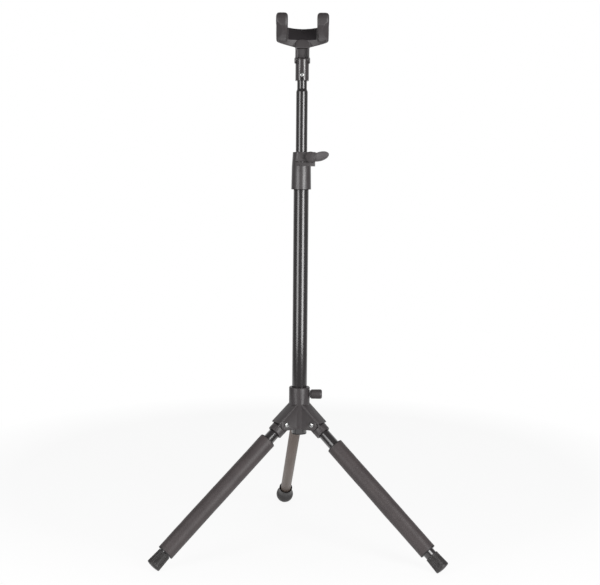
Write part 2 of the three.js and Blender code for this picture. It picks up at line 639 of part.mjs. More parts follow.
// The clamp moulding, from its own bottom edge: a tapered sleeve, a flat-fronted split ring and two ears.
function clampCollar() {
  const round = turned([
    [0, 0], [CLAMP_BOTTOM_DIAMETER / 2, 0], [CLAMP_SLEEVE_TOP_DIAMETER / 2, CLAMP_SLEEVE_LENGTH],
    [CLAMP_TOP_DIAMETER / 2, CLAMP_HEIGHT], [0, CLAMP_HEIGHT],
  ], TUBE_SIDES);
  const above = CLAMP_HEIGHT + PAST;
  const front = block(-FAR, -FAR, CLAMP_SLEEVE_LENGTH, FAR, -CLAMP_RING_FRONT, above);
  const earShape = roundedRectangle(0, -CLAMP_RING_FRONT, EAR_REACH, EAR_BACK, EAR_EDGE_RADIUS);
  const earOptions = { depth: CLAMP_HEIGHT - CLAMP_SLEEVE_LENGTH, bevelEnabled: false, curveSegments: 2 };
  const ears = new THREE.ExtrudeGeometry(earShape, earOptions).translate(0, 0, CLAMP_SLEEVE_LENGTH);
  const lowerBore = bar(lowerRadius + TURN_GAP, -PAST, CLAMP_GRIP + SEAT_GAP, TUBE_SIDES);
  const upperBore = bar(upperRadius + SLIDE_GAP, 0, above, TUBE_SIDES);
  const slotTop = CLAMP_SLOT_HEIGHT + CLAMP_SLOT_WIDTH;
  const half = CLAMP_SPLIT / 2;
  const slot = block(CLAMP_SLOT_LEFT, -FAR, CLAMP_SLOT_HEIGHT, FAR, half, slotTop);
  const split = block(upperRadius - PAST, -half, CLAMP_SLOT_HEIGHT, FAR, half, above);
  const boltHole = bar(CLAMP_BOLT_DIAMETER / 2 + TURN_GAP, -FAR, FAR, SMALL_SIDES);
  const nutCorner = hexCorner(CLAMP_NUT_WIDTH) + SLIDE_GAP;
  const nutPocket = bar(nutCorner, EAR_BACK - CLAMP_NUT_HEIGHT - SEAT_GAP, FAR, 6);
  const place = (tool) => alongY(tool).translate(CLAMP_BOLT_DISTANCE, 0, CLAMP_BOLT_HEIGHT);
  const body = cut(joined(round, ears), front);
  return cut(body, lowerBore, upperBore, slot, split, place(boltHole), place(nutPocket));
}

// The lever, about its bolt's axis along Y: boss, arm and dished paddle in one outline.
function clampLever() {
  const back = -(CLAMP_RING_FRONT + LEVER_STANDOFF);
  const bossFront = back - LEVER_BOSS_LENGTH;
  const outline = leverOutline();
  const plate = slabXZ(outline, back - LEVER_THICKNESS, back, 8);
  const boss = alongY(bar(LEVER_BOSS_DIAMETER / 2 - LEVER_BOSS_STEP, bossFront, back, SMALL_SIDES));
  const holeRadius = CLAMP_BOLT_DIAMETER / 2 + TURN_GAP;
  const hole = alongY(bar(holeRadius, bossFront + LEVER_CROWN, back + PAST, SMALL_SIDES));
  return cut(joined(plate, boss), paddleDish(back - LEVER_THICKNESS), hole);
}

// The thumb's oval dish in the lever's face, open to the front.
function paddleDish(face) {
  const long = PADDLE_DISH_LENGTH / 2;
  const short = PADDLE_DISH_WIDTH / 2;
  const bowl = new THREE.SphereGeometry(1, 20, 12).scale(long, PADDLE_DISH_DEPTH, short);
  const open = bar(1, 0, FAR, 20).rotateX(Math.PI / 2).scale(long, 1, short);
  const rise = PADDLE_RISE + (PADDLE_DISH_REACH - PADDLE_REACH) * Math.tan(PADDLE_TILT);
  return joined(bowl, open).rotateY(-PADDLE_TILT).translate(PADDLE_DISH_REACH, face, rise);
}

// The lever's outline in X and Z: a circle round the bolt and an oval paddle, joined by straight sides.
function leverOutline() {
  const boss = LEVER_BOSS_DIAMETER / 2;
  const long = PADDLE_LENGTH / 2;
  const short = PADDLE_WIDTH / 2;
  const shape = new THREE.Shape();
  shape.absarc(0, 0, boss, ...BOSS_ARC.map(degrees));
  shape.absellipse(PADDLE_REACH, PADDLE_RISE, long, short, ...PADDLE_ARC.map(degrees), false, PADDLE_TILT);
  return shape;
}

// The clamp's bolt along Y: it is moulded into the lever's boss and its tip passes the nut.
function clampBolt() {
  const front = -(CLAMP_RING_FRONT + LEVER_STANDOFF + LEVER_BOSS_LENGTH - LEVER_CROWN - SEAT_GAP);
  const tip = EAR_BACK + CLAMP_BOLT_TIP;
  const radius = CLAMP_BOLT_DIAMETER / 2;
  return alongY(turned([
    [0, front], [radius, front], [radius, tip - SMALL_CHAMFER], [radius - SMALL_CHAMFER, tip], [0, tip],
  ], SMALL_SIDES));
}

// The yoke socket, from its own bottom edge: a cup for the neck, and a flat-sided top for the hinge.
function yokeSocket() {
  const hinge = SOCKET_TOP - HINGE_DROP;
  const body = bar(socketRadius, 0, SOCKET_TOP, TUBE_SIDES);
  const flatHalf = EAR_INNER_HALF - SEAT_GAP;
  const leftFlat = slabYZ(socketSide(hinge), -FAR, -flatHalf, 4);
  const rightFlat = slabYZ(socketSide(hinge), flatHalf, FAR, 4);
  const bore = bar(neckRadius + TURN_GAP, -PAST, SOCKET_DEPTH, TUBE_SIDES);
  const notchHalf = SOCKET_NOTCH_WIDTH / 2;
  const notch = block(-notchHalf, -FAR, -PAST, notchHalf, 0, SOCKET_NOTCH_HEIGHT);
  const pinRadius = HINGE_PIN_DIAMETER / 2 + TURN_GAP;
  const pinHole = alongX(bar(pinRadius, -FAR, FAR, SCREW_SIDES)).translate(0, 0, hinge);
  const forward = (tool) => tool.rotateX(Math.PI / 2).translate(0, 0, SOCKET_SCREW_HEIGHT);
  const screwHole = bar(SOCKET_SCREW_DIAMETER / 2 + TURN_GAP, 0, FAR, SCREW_SIDES);
  const spot = bar(SOCKET_HEAD_DIAMETER / 2 + SLIDE_GAP, socketRadius - SOCKET_SPOT_DEPTH, FAR, SMALL_SIDES);
  const screwSpace = [forward(screwHole), forward(spot)];
  return cut(body, leftFlat, rightFlat, bore, socketNose(hinge), notch, pinHole, ...screwSpace);
}

// The space beside the socket for an ear: a ledge in front that the folded ear turns down to, and a
// round recess behind it for the ear's eye.
function socketSide(hinge) {
  const ledge = hinge - STEM_FRONT - 2 * SEAT_GAP;
  const eye = EAR_BOSS_RADIUS + SEAT_GAP;
  const above = SOCKET_TOP + PAST;
  const shape = new THREE.Shape();
  shape.moveTo(-FAR, ledge);
  shape.lineTo(0, ledge);
  shape.absarc(0, hinge, eye, -Math.PI / 2, 0);
  shape.lineTo(FAR, hinge);
  shape.lineTo(FAR, above);
  shape.lineTo(-FAR, above);
  return shape;
}

// The space over the socket's front that the yoke's web turns down into.
function socketNose(hinge) {
  const seat = hinge + STEM_WEB_FRONT - 2 * SEAT_GAP;
  const above = SOCKET_TOP + PAST;
  const shape = new THREE.Shape();
  shape.moveTo(-FAR, seat - SOCKET_NOSE_DROP);
  shape.lineTo(-socketRadius, seat - SOCKET_NOSE_DROP);
  shape.lineTo(-socketRadius + SOCKET_NOSE_SLOPE, seat);
  shape.lineTo(-STEM_WEB_RISE, seat);
  shape.lineTo(-STEM_WEB_FRONT, SOCKET_TOP);
  shape.lineTo(-STEM_WEB_FRONT, above);
  shape.lineTo(-FAR, above);
  return slabYZ(shape, -FAR, FAR);
}

// The socket's screw, through its front wall into the neck of the tube.
function socketScrew() {
  const head = [SOCKET_HEAD_DIAMETER, SOCKET_HEAD_HEIGHT];
  const screw = panHeadScrew(SOCKET_SCREW_DIAMETER, SOCKET_SCREW_LENGTH, ...head);
  return screw.rotateX(Math.PI / 2).translate(0, -(socketRadius - SOCKET_SPOT_DEPTH + SEAT_GAP), 0);
}

// The hinge pin along X, flush with the ears.
function hingePin() {
  const half = EAR_BOSS_HALF - SEAT_GAP;
  return alongX(bar(HINGE_PIN_DIAMETER / 2, -half, half, SCREW_SIDES));
}

// The yoke's stem, from the hinge's height: two ears with round eyes, joined by a web at the back.
function yokeStem() {
  const shape = new THREE.Shape();
  shape.absarc(0, 0, EAR_BOSS_RADIUS, Math.PI, 2 * Math.PI);
  shape.lineTo(STEM_BACK, STEM_WEB_RISE);
  shape.lineTo(STEM_BACK, stemTop);
  shape.lineTo(0, stemTop);
  shape.lineTo(-STEM_FRONT, STEM_FLARE_BOTTOM);
  shape.lineTo(-STEM_FRONT, STEM_WEB_RISE);
  const ears = slabYZ(shape, -EAR_OUTER_HALF, EAR_OUTER_HALF, 5);
  const eyes = alongX(bar(EAR_BOSS_RADIUS, -EAR_BOSS_HALF, EAR_BOSS_HALF, SMALL_SIDES));
  const front = block(-EAR_INNER_HALF, -FAR, -FAR, EAR_INNER_HALF, STEM_WEB_FRONT, FAR);
  const under = block(-EAR_INNER_HALF, -FAR, -FAR, EAR_INNER_HALF, FAR, STEM_WEB_RISE);
  return cut(joined(ears, eyes), front, under);
}

// The stem's front where it flares into the wall: a slope that ends in an arch.
function stemFlare() {
  const inWall = STEM_BACK - YOKE_WALL_THICKNESS / 2;
  const slope = new THREE.Shape();
  slope.moveTo(-STEM_FRONT, STEM_FLARE_BOTTOM);
  slope.lineTo(STEM_BACK - PAST, STEM_FLARE_BOTTOM);
  slope.lineTo(inWall, STEM_FLARE_TOP);
  slope.lineTo(STEM_BACK - YOKE_WALL_THICKNESS, STEM_FLARE_TOP);
  const arch = new THREE.Shape();
  arch.moveTo(-EAR_OUTER_HALF, STEM_FLARE_BOTTOM - PAST);
  arch.lineTo(EAR_OUTER_HALF, STEM_FLARE_BOTTOM - PAST);
  arch.absellipse(0, YOKE_WALL_BOTTOM, EAR_OUTER_HALF, STEM_FLARE_TOP - YOKE_WALL_BOTTOM, 0, Math.PI);
  return common(slabYZ(slope, -FAR, FAR), slabXZ(arch, -FAR, FAR, 5));
}

// Points in equal steps along an arc about the wall's centre, from right to left.
function backArc(radius, halfWidth, steps) {
  const spread = Math.asin(halfWidth / radius);
  return Array.from({ length: steps + 1 }, (_, i) => {
    const angle = THREE.MathUtils.lerp(-spread, spread, i / steps);
    return new THREE.Vector2(-radius * Math.sin(angle), wallCentre + radius * Math.cos(angle));
  });
}

// The yoke's back wall: an arc in plan whose lower edge rises towards the corners, with a wide bevel
// along its lower front edge.
function yokeWall() {
  const half = YOKE_WIDTH / 2;
  const outer = backArc(YOKE_WALL_RADIUS, half, YOKE_WALL_FACETS);
  const inner = backArc(YOKE_WALL_RADIUS - YOKE_WALL_THICKNESS, half, YOKE_WALL_FACETS);
  const plan = new THREE.Shape([...outer, ...inner.reverse()]);
  const options = { depth: YOKE_WALL_TOP - YOKE_WALL_BOTTOM, bevelEnabled: false };
  const wall = new THREE.ExtrudeGeometry(plan, options).translate(0, 0, YOKE_WALL_BOTTOM);
  return cut(common(wall, slabXZ(yokeFront(), -FAR, FAR, 4)), wallBevel());
}

// The cone that cuts the bevel along the wall's lower front edge.
function wallBevel() {
  const inside = YOKE_WALL_RADIUS - YOKE_WALL_THICKNESS;
  const top = YOKE_WALL_BOTTOM + YOKE_BEVEL_HEIGHT;
  const slope = YOKE_BEVEL_DEPTH / YOKE_BEVEL_HEIGHT;
  const bottom = YOKE_WALL_BOTTOM - PAST;
  const widest = inside + (top - bottom) * slope;
  const above = top + PAST;
  const cone = turned([[0, bottom], [widest, bottom], [inside - slope * PAST, above], [0, above]], TUBE_SIDES);
  return cone.translate(0, wallCentre, 0);
}

// The wall's outline seen from the front, with rounded lower corners and a top edge that dips in the gap.
function yokeFront() {
  const half = YOKE_WIDTH / 2;
  const rise = YOKE_WALL_BOTTOM + YOKE_CORNER_RISE;
  const round = YOKE_CORNER_ROUND;
  const chamfer = YOKE_TOP_CHAMFER;
  const gapHalf = half - HORN_WIDTH;
  const shape = new THREE.Shape();
  shape.moveTo(-YOKE_FLAT_BOTTOM_HALF, YOKE_WALL_BOTTOM);
  shape.lineTo(YOKE_FLAT_BOTTOM_HALF, YOKE_WALL_BOTTOM);
  shape.lineTo(half - round, rise);
  shape.quadraticCurveTo(half, rise + round / 4, half, rise + round);
  shape.lineTo(half, YOKE_WALL_TOP - chamfer);
  shape.lineTo(half - chamfer, YOKE_WALL_TOP);
  shape.lineTo(gapHalf, YOKE_WALL_TOP);
  shape.quadraticCurveTo(0, YOKE_WALL_TOP - 2 * YOKE_TOP_DIP, -gapHalf, YOKE_WALL_TOP);
  shape.lineTo(-half + chamfer, YOKE_WALL_TOP);
  shape.lineTo(-half, YOKE_WALL_TOP - chamfer);
  shape.lineTo(-half, rise + round);
  shape.quadraticCurveTo(-half, rise + round / 4, -half + round, rise);
  return shape;
}

// The side outline of a horn in Y and Z, drawn inside its rounded edge: it leaves the wall, sweeps
// forward and up, and ends in a round tip.
function hornProfile() {
  const edge = HORN_EDGE;
  const low = YOKE_WALL_BOTTOM + YOKE_CORNER_RISE + HORN_UNDER_RISE + edge;
  const top = HORN_TOP - edge;
  const front = -HORN_REACH + edge;
  const inside = YOKE_WALL_TOP - edge;
  const chin = top - HORN_TIP_HEIGHT;
  const belly = -HORN_ROOT - HORN_BELLY;
  const tip = front + HORN_TIP_ROUND;
  const lean = front - HORN_TIP_LEAN;
  const shape = new THREE.Shape();
  shape.moveTo(-HORN_ROOT, low);
  shape.bezierCurveTo(belly, low, front + HORN_TIP_ROUND, low + HORN_CHIN, front, chin);
  shape.bezierCurveTo(lean, chin + HORN_CHIN, lean, top, tip, top);
  shape.bezierCurveTo(tip + HORN_CHIN, top, tip + HORN_CHIN, inside, belly + HORN_CHIN, inside);
  shape.lineTo(-HORN_ROOT, inside);
  return shape;
}

// One horn of the yoke: its side outline extruded with round edges, narrower at the root, with a round
// top and an end inside the wall.
function yokeHorn(sign) {
  const flatWidth = HORN_WIDTH - 2 * HORN_EDGE;
  const options = {
    depth: flatWidth,
    bevelEnabled: true,
    bevelThickness: HORN_EDGE,
    bevelSize: HORN_EDGE,
    bevelSegments: 2,
    curveSegments: 5,
  };
  const horn = new THREE.ExtrudeGeometry(hornProfile(), options);
  horn.rotateY(Math.PI / 2).rotateX(Math.PI / 2).translate(-flatWidth / 2, 0, 0);
  const place = horn.attributes.position;
  for (let i = 0; i < place.count; i += 1) {
    const forward = THREE.MathUtils.clamp(-place.getY(i) / HORN_FULL_WIDTH_REACH, 0, 1);
    place.setX(i, place.getX(i) * THREE.MathUtils.lerp(HORN_ROOT_SHARE, 1, forward));
  }
  const tall = roundedRectangle(-HORN_WIDTH / 2, -FAR, HORN_WIDTH / 2, HORN_TOP, HORN_CORNER_RADIUS);
  const trimmed = common(horn, slabXZ(tall, -FAR, FAR, 3));
  const placed = trimmed.translate((sign * (YOKE_WIDTH - HORN_WIDTH)) / 2, 0, 0);
  return common(placed, bar(YOKE_WALL_RADIUS - PAST, -FAR, 2 * FAR, TUBE_SIDES).translate(0, wallCentre, 0));
}

// The half space beyond a horn's slanted flank.
function hornFlank(sign) {
  const [outwards, back, up] = HORN_FLANK_NORMAL;
  const normal = new THREE.Vector3(sign * outwards, back, up).normalize();
  const turn = new THREE.Quaternion().setFromUnitVectors(new THREE.Vector3(0, 0, 1), normal);
  const beyond = block(-FAR, -FAR, 0, FAR, FAR, FAR).applyQuaternion(turn);
  return beyond.translate((sign * YOKE_WIDTH) / 2, -HORN_REACH, HORN_FLANK_START);
}

// The yoke, from its hinge's height: stem, back wall and horns in one moulding.
function yoke() {
  const body = joined(yokeStem(), stemFlare(), yokeWall(), yokeHorn(-1), yokeHorn(1));
  const pinHole = alongX(bar(HINGE_PIN_DIAMETER / 2 + TURN_GAP, -FAR, FAR, SCREW_SIDES));
  return cut(body, pinHole, hornFlank(-1), hornFlank(1));
}

// Materials, one for each kind of surface.
const paint = (color, roughness, metalness) => ({ color, roughness, metalness });
const TUBE_BLACK = paint(0x141415, 0.22, 0.55);
const MOULDED = paint(0x3b393a, 0.5, 0);
const REAR_TUBE = paint(0x4c4745, 0.45, 0.3);
const RUBBER = paint(0x343232, 0.75, 0);
const FOAM = paint(0x3c3838, 0.95, 0);
const ZINC = paint(0xcfcfcf, 0.3, 1);
const BLACK_PLASTIC = paint(0x0f0e10, 0.5, 0);

// Adds a named piece to a group, in its own material.
function add(group, name, geometry, look) {
  const piece = new THREE.Mesh(geometry, new THREE.MeshStandardMaterial(look));
  piece.name = name;
  group.add(piece);
  return piece;
}

// The hub's pivot hardware for one leg. The screw's head is on the side that the sign names.
function addPivotHardware(group, name, azimuth, sign) {
  const turn = new THREE.Group();
  turn.rotation.z = azimuth;
  group.add(turn);
  const headFace = cheekHalf + SEAT_GAP;
  const length = 2 * cheekHalf + 2 * SEAT_GAP + PIVOT_NUT_HEIGHT + 1;
  const screw = panHeadScrew(PIVOT_SCREW_DIAMETER, length, PIVOT_HEAD_DIAMETER, PIVOT_HEAD_HEIGHT);
  const screwMesh = add(turn, name + "_pivot_screw", screw.rotateX((-sign * Math.PI) / 2), ZINC);
  screwMesh.position.set(pivotRadius, sign * headFace, pivotHeight);
  const nut = hexNut(PIVOT_NUT_WIDTH, PIVOT_NUT_HEIGHT, PIVOT_SCREW_DIAMETER / 2 + TURN_GAP);
  const nutMesh = add(turn, name + "_pivot_nut", nut.rotateX((sign * Math.PI) / 2), ZINC);
  nutMesh.position.set(pivotRadius, -sign * headFace, pivotHeight);
}

// A group whose X runs out along a leg.
function legFrame(parent, azimuth) {
  const turn = new THREE.Group();
  const dip = new THREE.Group();
  turn.rotation.z = azimuth;
  dip.rotation.y = LEG_ANGLE;
  parent.add(turn);
  turn.add(dip);
  return dip;
}

function addFrontLeg(parent, name, azimuth, topBare, capBare) {
  const leg = legFrame(parent, azimuth);
  add(leg, name + "_knuckle", knuckle(), MOULDED);
  add(leg, name + "_leg_tube", legTube(LEG_LENGTH - CAP_END_THICKNESS - SEAT_GAP), TUBE_BLACK);
  add(leg, name + "_foam_sleeve", foamSleeve(topBare, capBare), FOAM);
  add(leg, name + "_leg_cap", flattened(legCap(), azimuth), RUBBER);
}

function addRearLeg(parent, name, azimuth) {
  const leg = legFrame(parent, azimuth);
  add(leg, name + "_knuckle", knuckle(), MOULDED);
  add(leg, name + "_leg_tube", legTube(ballDistance - SEAT_GAP), REAR_TUBE);
  add(leg, name + "_foot", flattened(rearFoot(), azimuth), RUBBER);
}

function addColumn(column) {
  const lowerTube = ring(lowerInner, lowerRadius, LOWER_TUBE_BOTTOM, lowerTubeTop, TUBE_SIDES);
  add(column, "lower_tube", lowerTube, TUBE_BLACK);
  add(column, "tube_end_plug", tubePlug(), BLACK_PLASTIC);
  add(column, "upper_tube", upperTube(), TUBE_BLACK);
  add(column, "glide_bush", glideBush(), BLACK_PLASTIC);
}

function addClamp(column) {
  const clamp = new THREE.Group();
  clamp.position.z = clampBottom;
  column.add(clamp);
  add(clamp, "clamp_collar", clampCollar(), MOULDED);
  const boltLine = new THREE.Group();
  boltLine.position.set(CLAMP_BOLT_DISTANCE, 0, CLAMP_BOLT_HEIGHT);
  clamp.add(boltLine);
  add(boltLine, "clamp_lever", clampLever(), MOULDED);
  add(boltLine, "clamp_bolt", clampBolt(), ZINC);
  const nut = hexNut(CLAMP_NUT_WIDTH, CLAMP_NUT_HEIGHT, CLAMP_BOLT_DIAMETER / 2 + TURN_GAP);
  add(boltLine, "clamp_nut", alongY(nut).translate(0, EAR_BACK - CLAMP_NUT_HEIGHT, 0), ZINC);
}

function addHead(column) {
  const socket = new THREE.Group();
  socket.position.z = socketBottom;
  column.add(socket);
  add(socket, "yoke_socket", yokeSocket(), MOULDED);
  add(socket, "socket_screw", socketScrew(), ZINC).position.z = SOCKET_SCREW_HEIGHT;
  const hinge = new THREE.Group();
  hinge.position.z = hingeHeight;
  column.add(hinge);
  add(hinge, "yoke_hinge_pin", hingePin(), ZINC);
  add(hinge, "yoke", yoke(), MOULDED);
}

const stand = new THREE.Group();
const column = new THREE.Group();
column.position.z = hubHeight;
stand.add(column);
add(column, "hub", hub(), MOULDED);
const knobLine = new THREE.Group();
knobLine.position.z = KNOB_HEIGHT;
column.add(knobLine);
add(knobLine, "hub_knob", hubKnob(), MOULDED);
add(knobLine, "knob_screw", knobScrew(), ZINC);
addPivotHardware(column, "left", LEFT_LEG_AZIMUTH, 1);
addPivotHardware(column, "right", RIGHT_LEG_AZIMUTH, -1);
addPivotHardware(column, "rear", REAR_LEG_AZIMUTH, -1);
addFrontLeg(column, "left", LEFT_LEG_AZIMUTH, LEFT_FOAM_TOP_BARE, LEFT_FOAM_CAP_BARE);
addFrontLeg(column, "right", RIGHT_LEG_AZIMUTH, RIGHT_FOAM_TOP_BARE, RIGHT_FOAM_CAP_BARE);
addRearLeg(column, "rear", REAR_LEG_AZIMUTH);
addColumn(column);
addClamp(column);
addHead(column);

// The stand's origin is the middle of its box on the floor.
const bounds = new THREE.Box3().setFromObject(stand, true);
const middle = bounds.getCenter(new THREE.Vector3());
column.position.x = -middle.x;
column.position.y = -middle.y;

export default stand;
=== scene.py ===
# %% [markdown]
# # A folding tripod stand with a neck yoke
# The stand is two telescoping tubes on a folding tripod. A moulded hub holds three legs, a split clamp
# with a lever sets the height, and a two-horned yoke takes an instrument's neck. A CAD model already
# gives every piece its place, size and motion. This script gives each piece the shape and surface that
# the eye sees, puts it on the body that it moves with, and then lights and frames the whole.

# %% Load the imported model
import math

import bmesh
import bpy
from mathutils import Matrix, Vector, noise


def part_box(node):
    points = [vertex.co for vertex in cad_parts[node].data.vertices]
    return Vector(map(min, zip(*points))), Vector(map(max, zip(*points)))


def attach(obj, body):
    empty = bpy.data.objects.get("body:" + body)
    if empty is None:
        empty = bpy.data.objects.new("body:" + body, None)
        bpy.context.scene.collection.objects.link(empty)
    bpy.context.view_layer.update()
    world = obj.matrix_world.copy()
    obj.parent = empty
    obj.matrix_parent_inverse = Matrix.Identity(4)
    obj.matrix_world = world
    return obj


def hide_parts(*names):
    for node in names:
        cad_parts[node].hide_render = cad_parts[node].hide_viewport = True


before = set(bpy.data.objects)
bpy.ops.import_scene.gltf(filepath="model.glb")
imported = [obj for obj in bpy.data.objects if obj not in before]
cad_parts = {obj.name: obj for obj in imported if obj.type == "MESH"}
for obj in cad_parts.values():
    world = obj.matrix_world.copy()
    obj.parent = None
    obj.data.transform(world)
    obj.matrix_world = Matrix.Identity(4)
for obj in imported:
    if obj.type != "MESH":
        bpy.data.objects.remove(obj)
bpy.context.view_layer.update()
MM = 0.001

# %% [markdown]
# Blender works in metres and the stand is drawn in millimetres, so lengths below are millimetres and
# `MM` turns them into metres. Two kinds of frame place the pieces. The column's frame stands where the
# three legs' lines meet. A leg's frame starts at the same point, turns to the leg's azimuth and dips by
# 41.3 degrees, so that its X runs out along the leg.

# %% The column's frame and the legs' frames
LEG_DIP = math.radians(41.3)
LEG_AZIMUTH = {"left": math.radians(210), "right": math.radians(330), "rear": math.radians(96)}
LOWER_TUBE_BOTTOM = -45.1

tube_low, tube_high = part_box("lower_tube")
tube_middle = (tube_low + tube_high) / 2
COLUMN = Matrix.Translation((tube_middle.x, tube_middle.y, tube_low.z - LOWER_TUBE_BOTTOM * MM))
TURNED = {leg: COLUMN @ Matrix.Rotation(azimuth, 4, "Z") for leg, azimuth in LEG_AZIMUTH.items()}
LEG = {leg: turned_to @ Matrix.Rotation(LEG_DIP, 4, "Y") for leg, turned_to in TURNED.items()}
print("The legs' lines meet at", [round(v / MM, 1) for v in COLUMN.translation])

# %% [markdown]
# ## Node trees as sums
# A finish reads better as an expression than as a list of boxes and noodles. `Wire` wraps one output
# socket, so that `0.4 + 0.1 * grain` adds the Math nodes by itself. `Tree` adds any other node with one
# method, which takes the node's type, then its settings, then what goes into its sockets. Shader trees
# and geometry trees share it. Sums, vectors and ranges come up so often that they have short methods of
# their own.

# %% A socket with operators, and a tree that adds nodes
class Wire:
    def __init__(self, tree, socket):
        self.tree = tree
        self.socket = socket

    def __add__(self, other):
        return self.tree.scalar("ADD", self, other)

    def __radd__(self, other):
        return self.tree.scalar("ADD", other, self)

    def __sub__(self, other):
        return self.tree.scalar("SUBTRACT", self, other)

    def __rsub__(self, other):
        return self.tree.scalar("SUBTRACT", other, self)

    def __mul__(self, other):
        return self.tree.scalar("MULTIPLY", self, other)

    def __rmul__(self, other):
        return self.tree.scalar("MULTIPLY", other, self)


class Tree:
    def __init__(self, node_tree):
        self.node_tree = node_tree

    def node(self, kind, settings=None, sockets=None, output=0):
        """Adds a node and gives back a wire from one of its outputs."""
        made = self.node_tree.nodes.new(kind)
        for key, value in (settings or {}).items():
            setattr(made, key, value)
        for key, value in (sockets or {}).items():
            if isinstance(value, Wire):
                self.node_tree.links.new(value.socket, made.inputs[key])
            else:
                made.inputs[key].default_value = value
        return Wire(self, made.outputs[output]) if made.outputs else None

    def scalar(self, operation, first, second=0.0):
        """One number made from one or two others."""
        return self.node("ShaderNodeMath", {"operation": operation}, {0: first, 1: second})

    def vector(self, operation, first, second=(0, 0, 0), output=0):
        """A vector made from one or two others, or a number if the output is "Value"."""
        return self.node("ShaderNodeVectorMath", {"operation": operation}, {0: first, 1: second}, output)

    def axes(self, vector, names):
        """Some of a vector's three numbers."""
        return [self.node("ShaderNodeSeparateXYZ", None, {0: vector}, output=name) for name in names]

    def spread(self, value, low, high, bottom=0.0, top=1.0, curve="LINEAR"):
        """The bottom where the value is below low, the top where it is above high, and a way between."""
        settings = {"clamp": True, "interpolation_type": curve}
        sockets = {"Value": value, "From Min": low, "From Max": high, "To Min": bottom, "To Max": top}
        return self.node("ShaderNodeMapRange", settings, sockets)


print("Wires can be added and multiplied")

# %% [markdown]
# ## Finishes
# Up close no surface is one flat colour. Each finish here starts from a few noises of a real size: the
# grain of a spark-eroded mould, the orange peel of stoved paint, the pores of foam. They move the
# colour a little, change the roughness, and lift the surface through a Bump node. The patterns read
# Object coordinates, which stay with the piece when a joint moves.

# %% What every finish is made of
def srgb(code):
    """Linear colour from six hexadecimal digits."""
    parts = [int(code[i : i + 2], 16) / 255 for i in (0, 2, 4)]
    linear = [c / 12.92 if c <= 0.04045 else ((c + 0.055) / 1.055) ** 2.4 for c in parts]
    return (*linear, 1.0)


# A Mix node repeats its socket names for every kind of data, so the ones for colours go by their numbers.
MIX_FACTOR, MIX_LOW, MIX_HIGH, MIX_RESULT = 0, 6, 7, 2


class Finish(Tree):
    """A material, with the patterns that the stand's finishes use."""

    def __init__(self, name):
        self.material = bpy.data.materials.new(name)
        self.material.use_nodes = True
        super().__init__(self.material.node_tree)
        self.node_tree.nodes.clear()
        self.place = self.node("ShaderNodeTexCoord", output="Object")

    def cloud(self, size, detail=2.0, roughness=0.5):
        """Noise with lumps of about this many millimetres."""
        scale = 1 / (size * MM)
        sockets = {"Vector": self.place, "Scale": scale, "Detail": detail, "Roughness": roughness}
        return self.node("ShaderNodeTexNoise", None, sockets)

    def mix(self, mask, low, high):
        """One colour where the mask is 0 and the other where it is 1."""
        sockets = {MIX_FACTOR: mask, MIX_LOW: low, MIX_HIGH: high}
        return self.node("ShaderNodeMix", {"data_type": "RGBA"}, sockets, MIX_RESULT)

    def bump(self, height, depth, strength):
        """Normals of a surface that stands this many millimetres high where the height is 1."""
        sockets = {"Height": height, "Distance": depth * MM, "Strength": strength}
        return self.node("ShaderNodeBump", None, sockets)

    def surface(self, **sockets):
        """A Principled shader with these sockets."""
        named = {key.replace("_", " "): value for key, value in sockets.items()}
        return self.node("ShaderNodeBsdfPrincipled", None, named)

    def either(self, mask, low, high):
        """One shader where the mask is 0 and the other where it is 1."""
        return self.node("ShaderNodeMixShader", None, {0: mask, 1: low, 2: high})

    def done(self, surface):
        """Ends the tree in a shader and gives back the material."""
        self.node("ShaderNodeOutputMaterial", None, {"Surface": surface})
        return self.material


print("Finishes can be mixed")

# %% [markdown]
# The hub, knuckles, clamp, lever, socket and yoke are charcoal nylon. Its mould was textured, so light
# spreads into soft bands and never into a sharp glint. Handling has polished it in patches. The socket
# and the clamp's sleeve came from smoother moulds, so the same finish takes a lower roughness and more
# shine there. Thumbs have greyed the lever's paddle, which a mask along X brings out.

# %% Charcoal moulded plastic
def charcoal_nylon(finish, roughness, shine, toned=None):
    """The shader of charcoal nylon. Where the mask is 1, it is paler: wear, and on the yoke painted light.
    """
    grain = finish.cloud(0.45, detail=2.0)
    flow = finish.cloud(16.0, detail=3.0)
    handled = finish.spread(finish.cloud(28.0, detail=4.0), 0.45, 0.7)
    colour = finish.mix(finish.spread(flow, 0.3, 0.7), srgb("353031"), srgb("3a3637"))
    # Paler grey: wear on the paddle; on the yoke, painted light and, along edges, wear with painted
    # highlight.
    if toned:
        colour = finish.mix(toned, colour, srgb("504d4e"))
    return finish.surface(
        Base_Color=colour,
        Roughness=roughness - 0.04 * handled + 0.06 * grain,
        Specular_IOR_Level=shine,
        Normal=finish.bump(grain, 0.03, 0.2),
    )


def plain_moulding(name, roughness, shine):
    finish = Finish(name)
    return finish.done(charcoal_nylon(finish, roughness, shine))


PADDLE_START, PADDLE_FADE = 17.0, 3.0


def thumbed_moulding():
    """The lever's finish: thumbs have greyed the paddle and not the boss."""
    finish = Finish("thumbed_moulding")
    x = finish.axes(finish.place, "X")[0]
    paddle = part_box("clamp_lever")[0].x + PADDLE_START * MM
    toned = finish.spread(x, paddle, paddle + PADDLE_FADE * MM)
    return finish.done(charcoal_nylon(finish, roughness=0.46, shine=0.5, toned=toned))


MOULDING = plain_moulding("charcoal_moulding", roughness=0.42, shine=0.6)
SATIN_MOULDING = plain_moulding("satin_moulding", roughness=0.36, shine=0.9)
SMOOTH_MOULDING = plain_moulding("smooth_moulding", roughness=0.2, shine=1.0)
THUMBED_MOULDING = thumbed_moulding()
print(MOULDING.name, SATIN_MOULDING.name, SMOOTH_MOULDING.name, THUMBED_MOULDING.name)
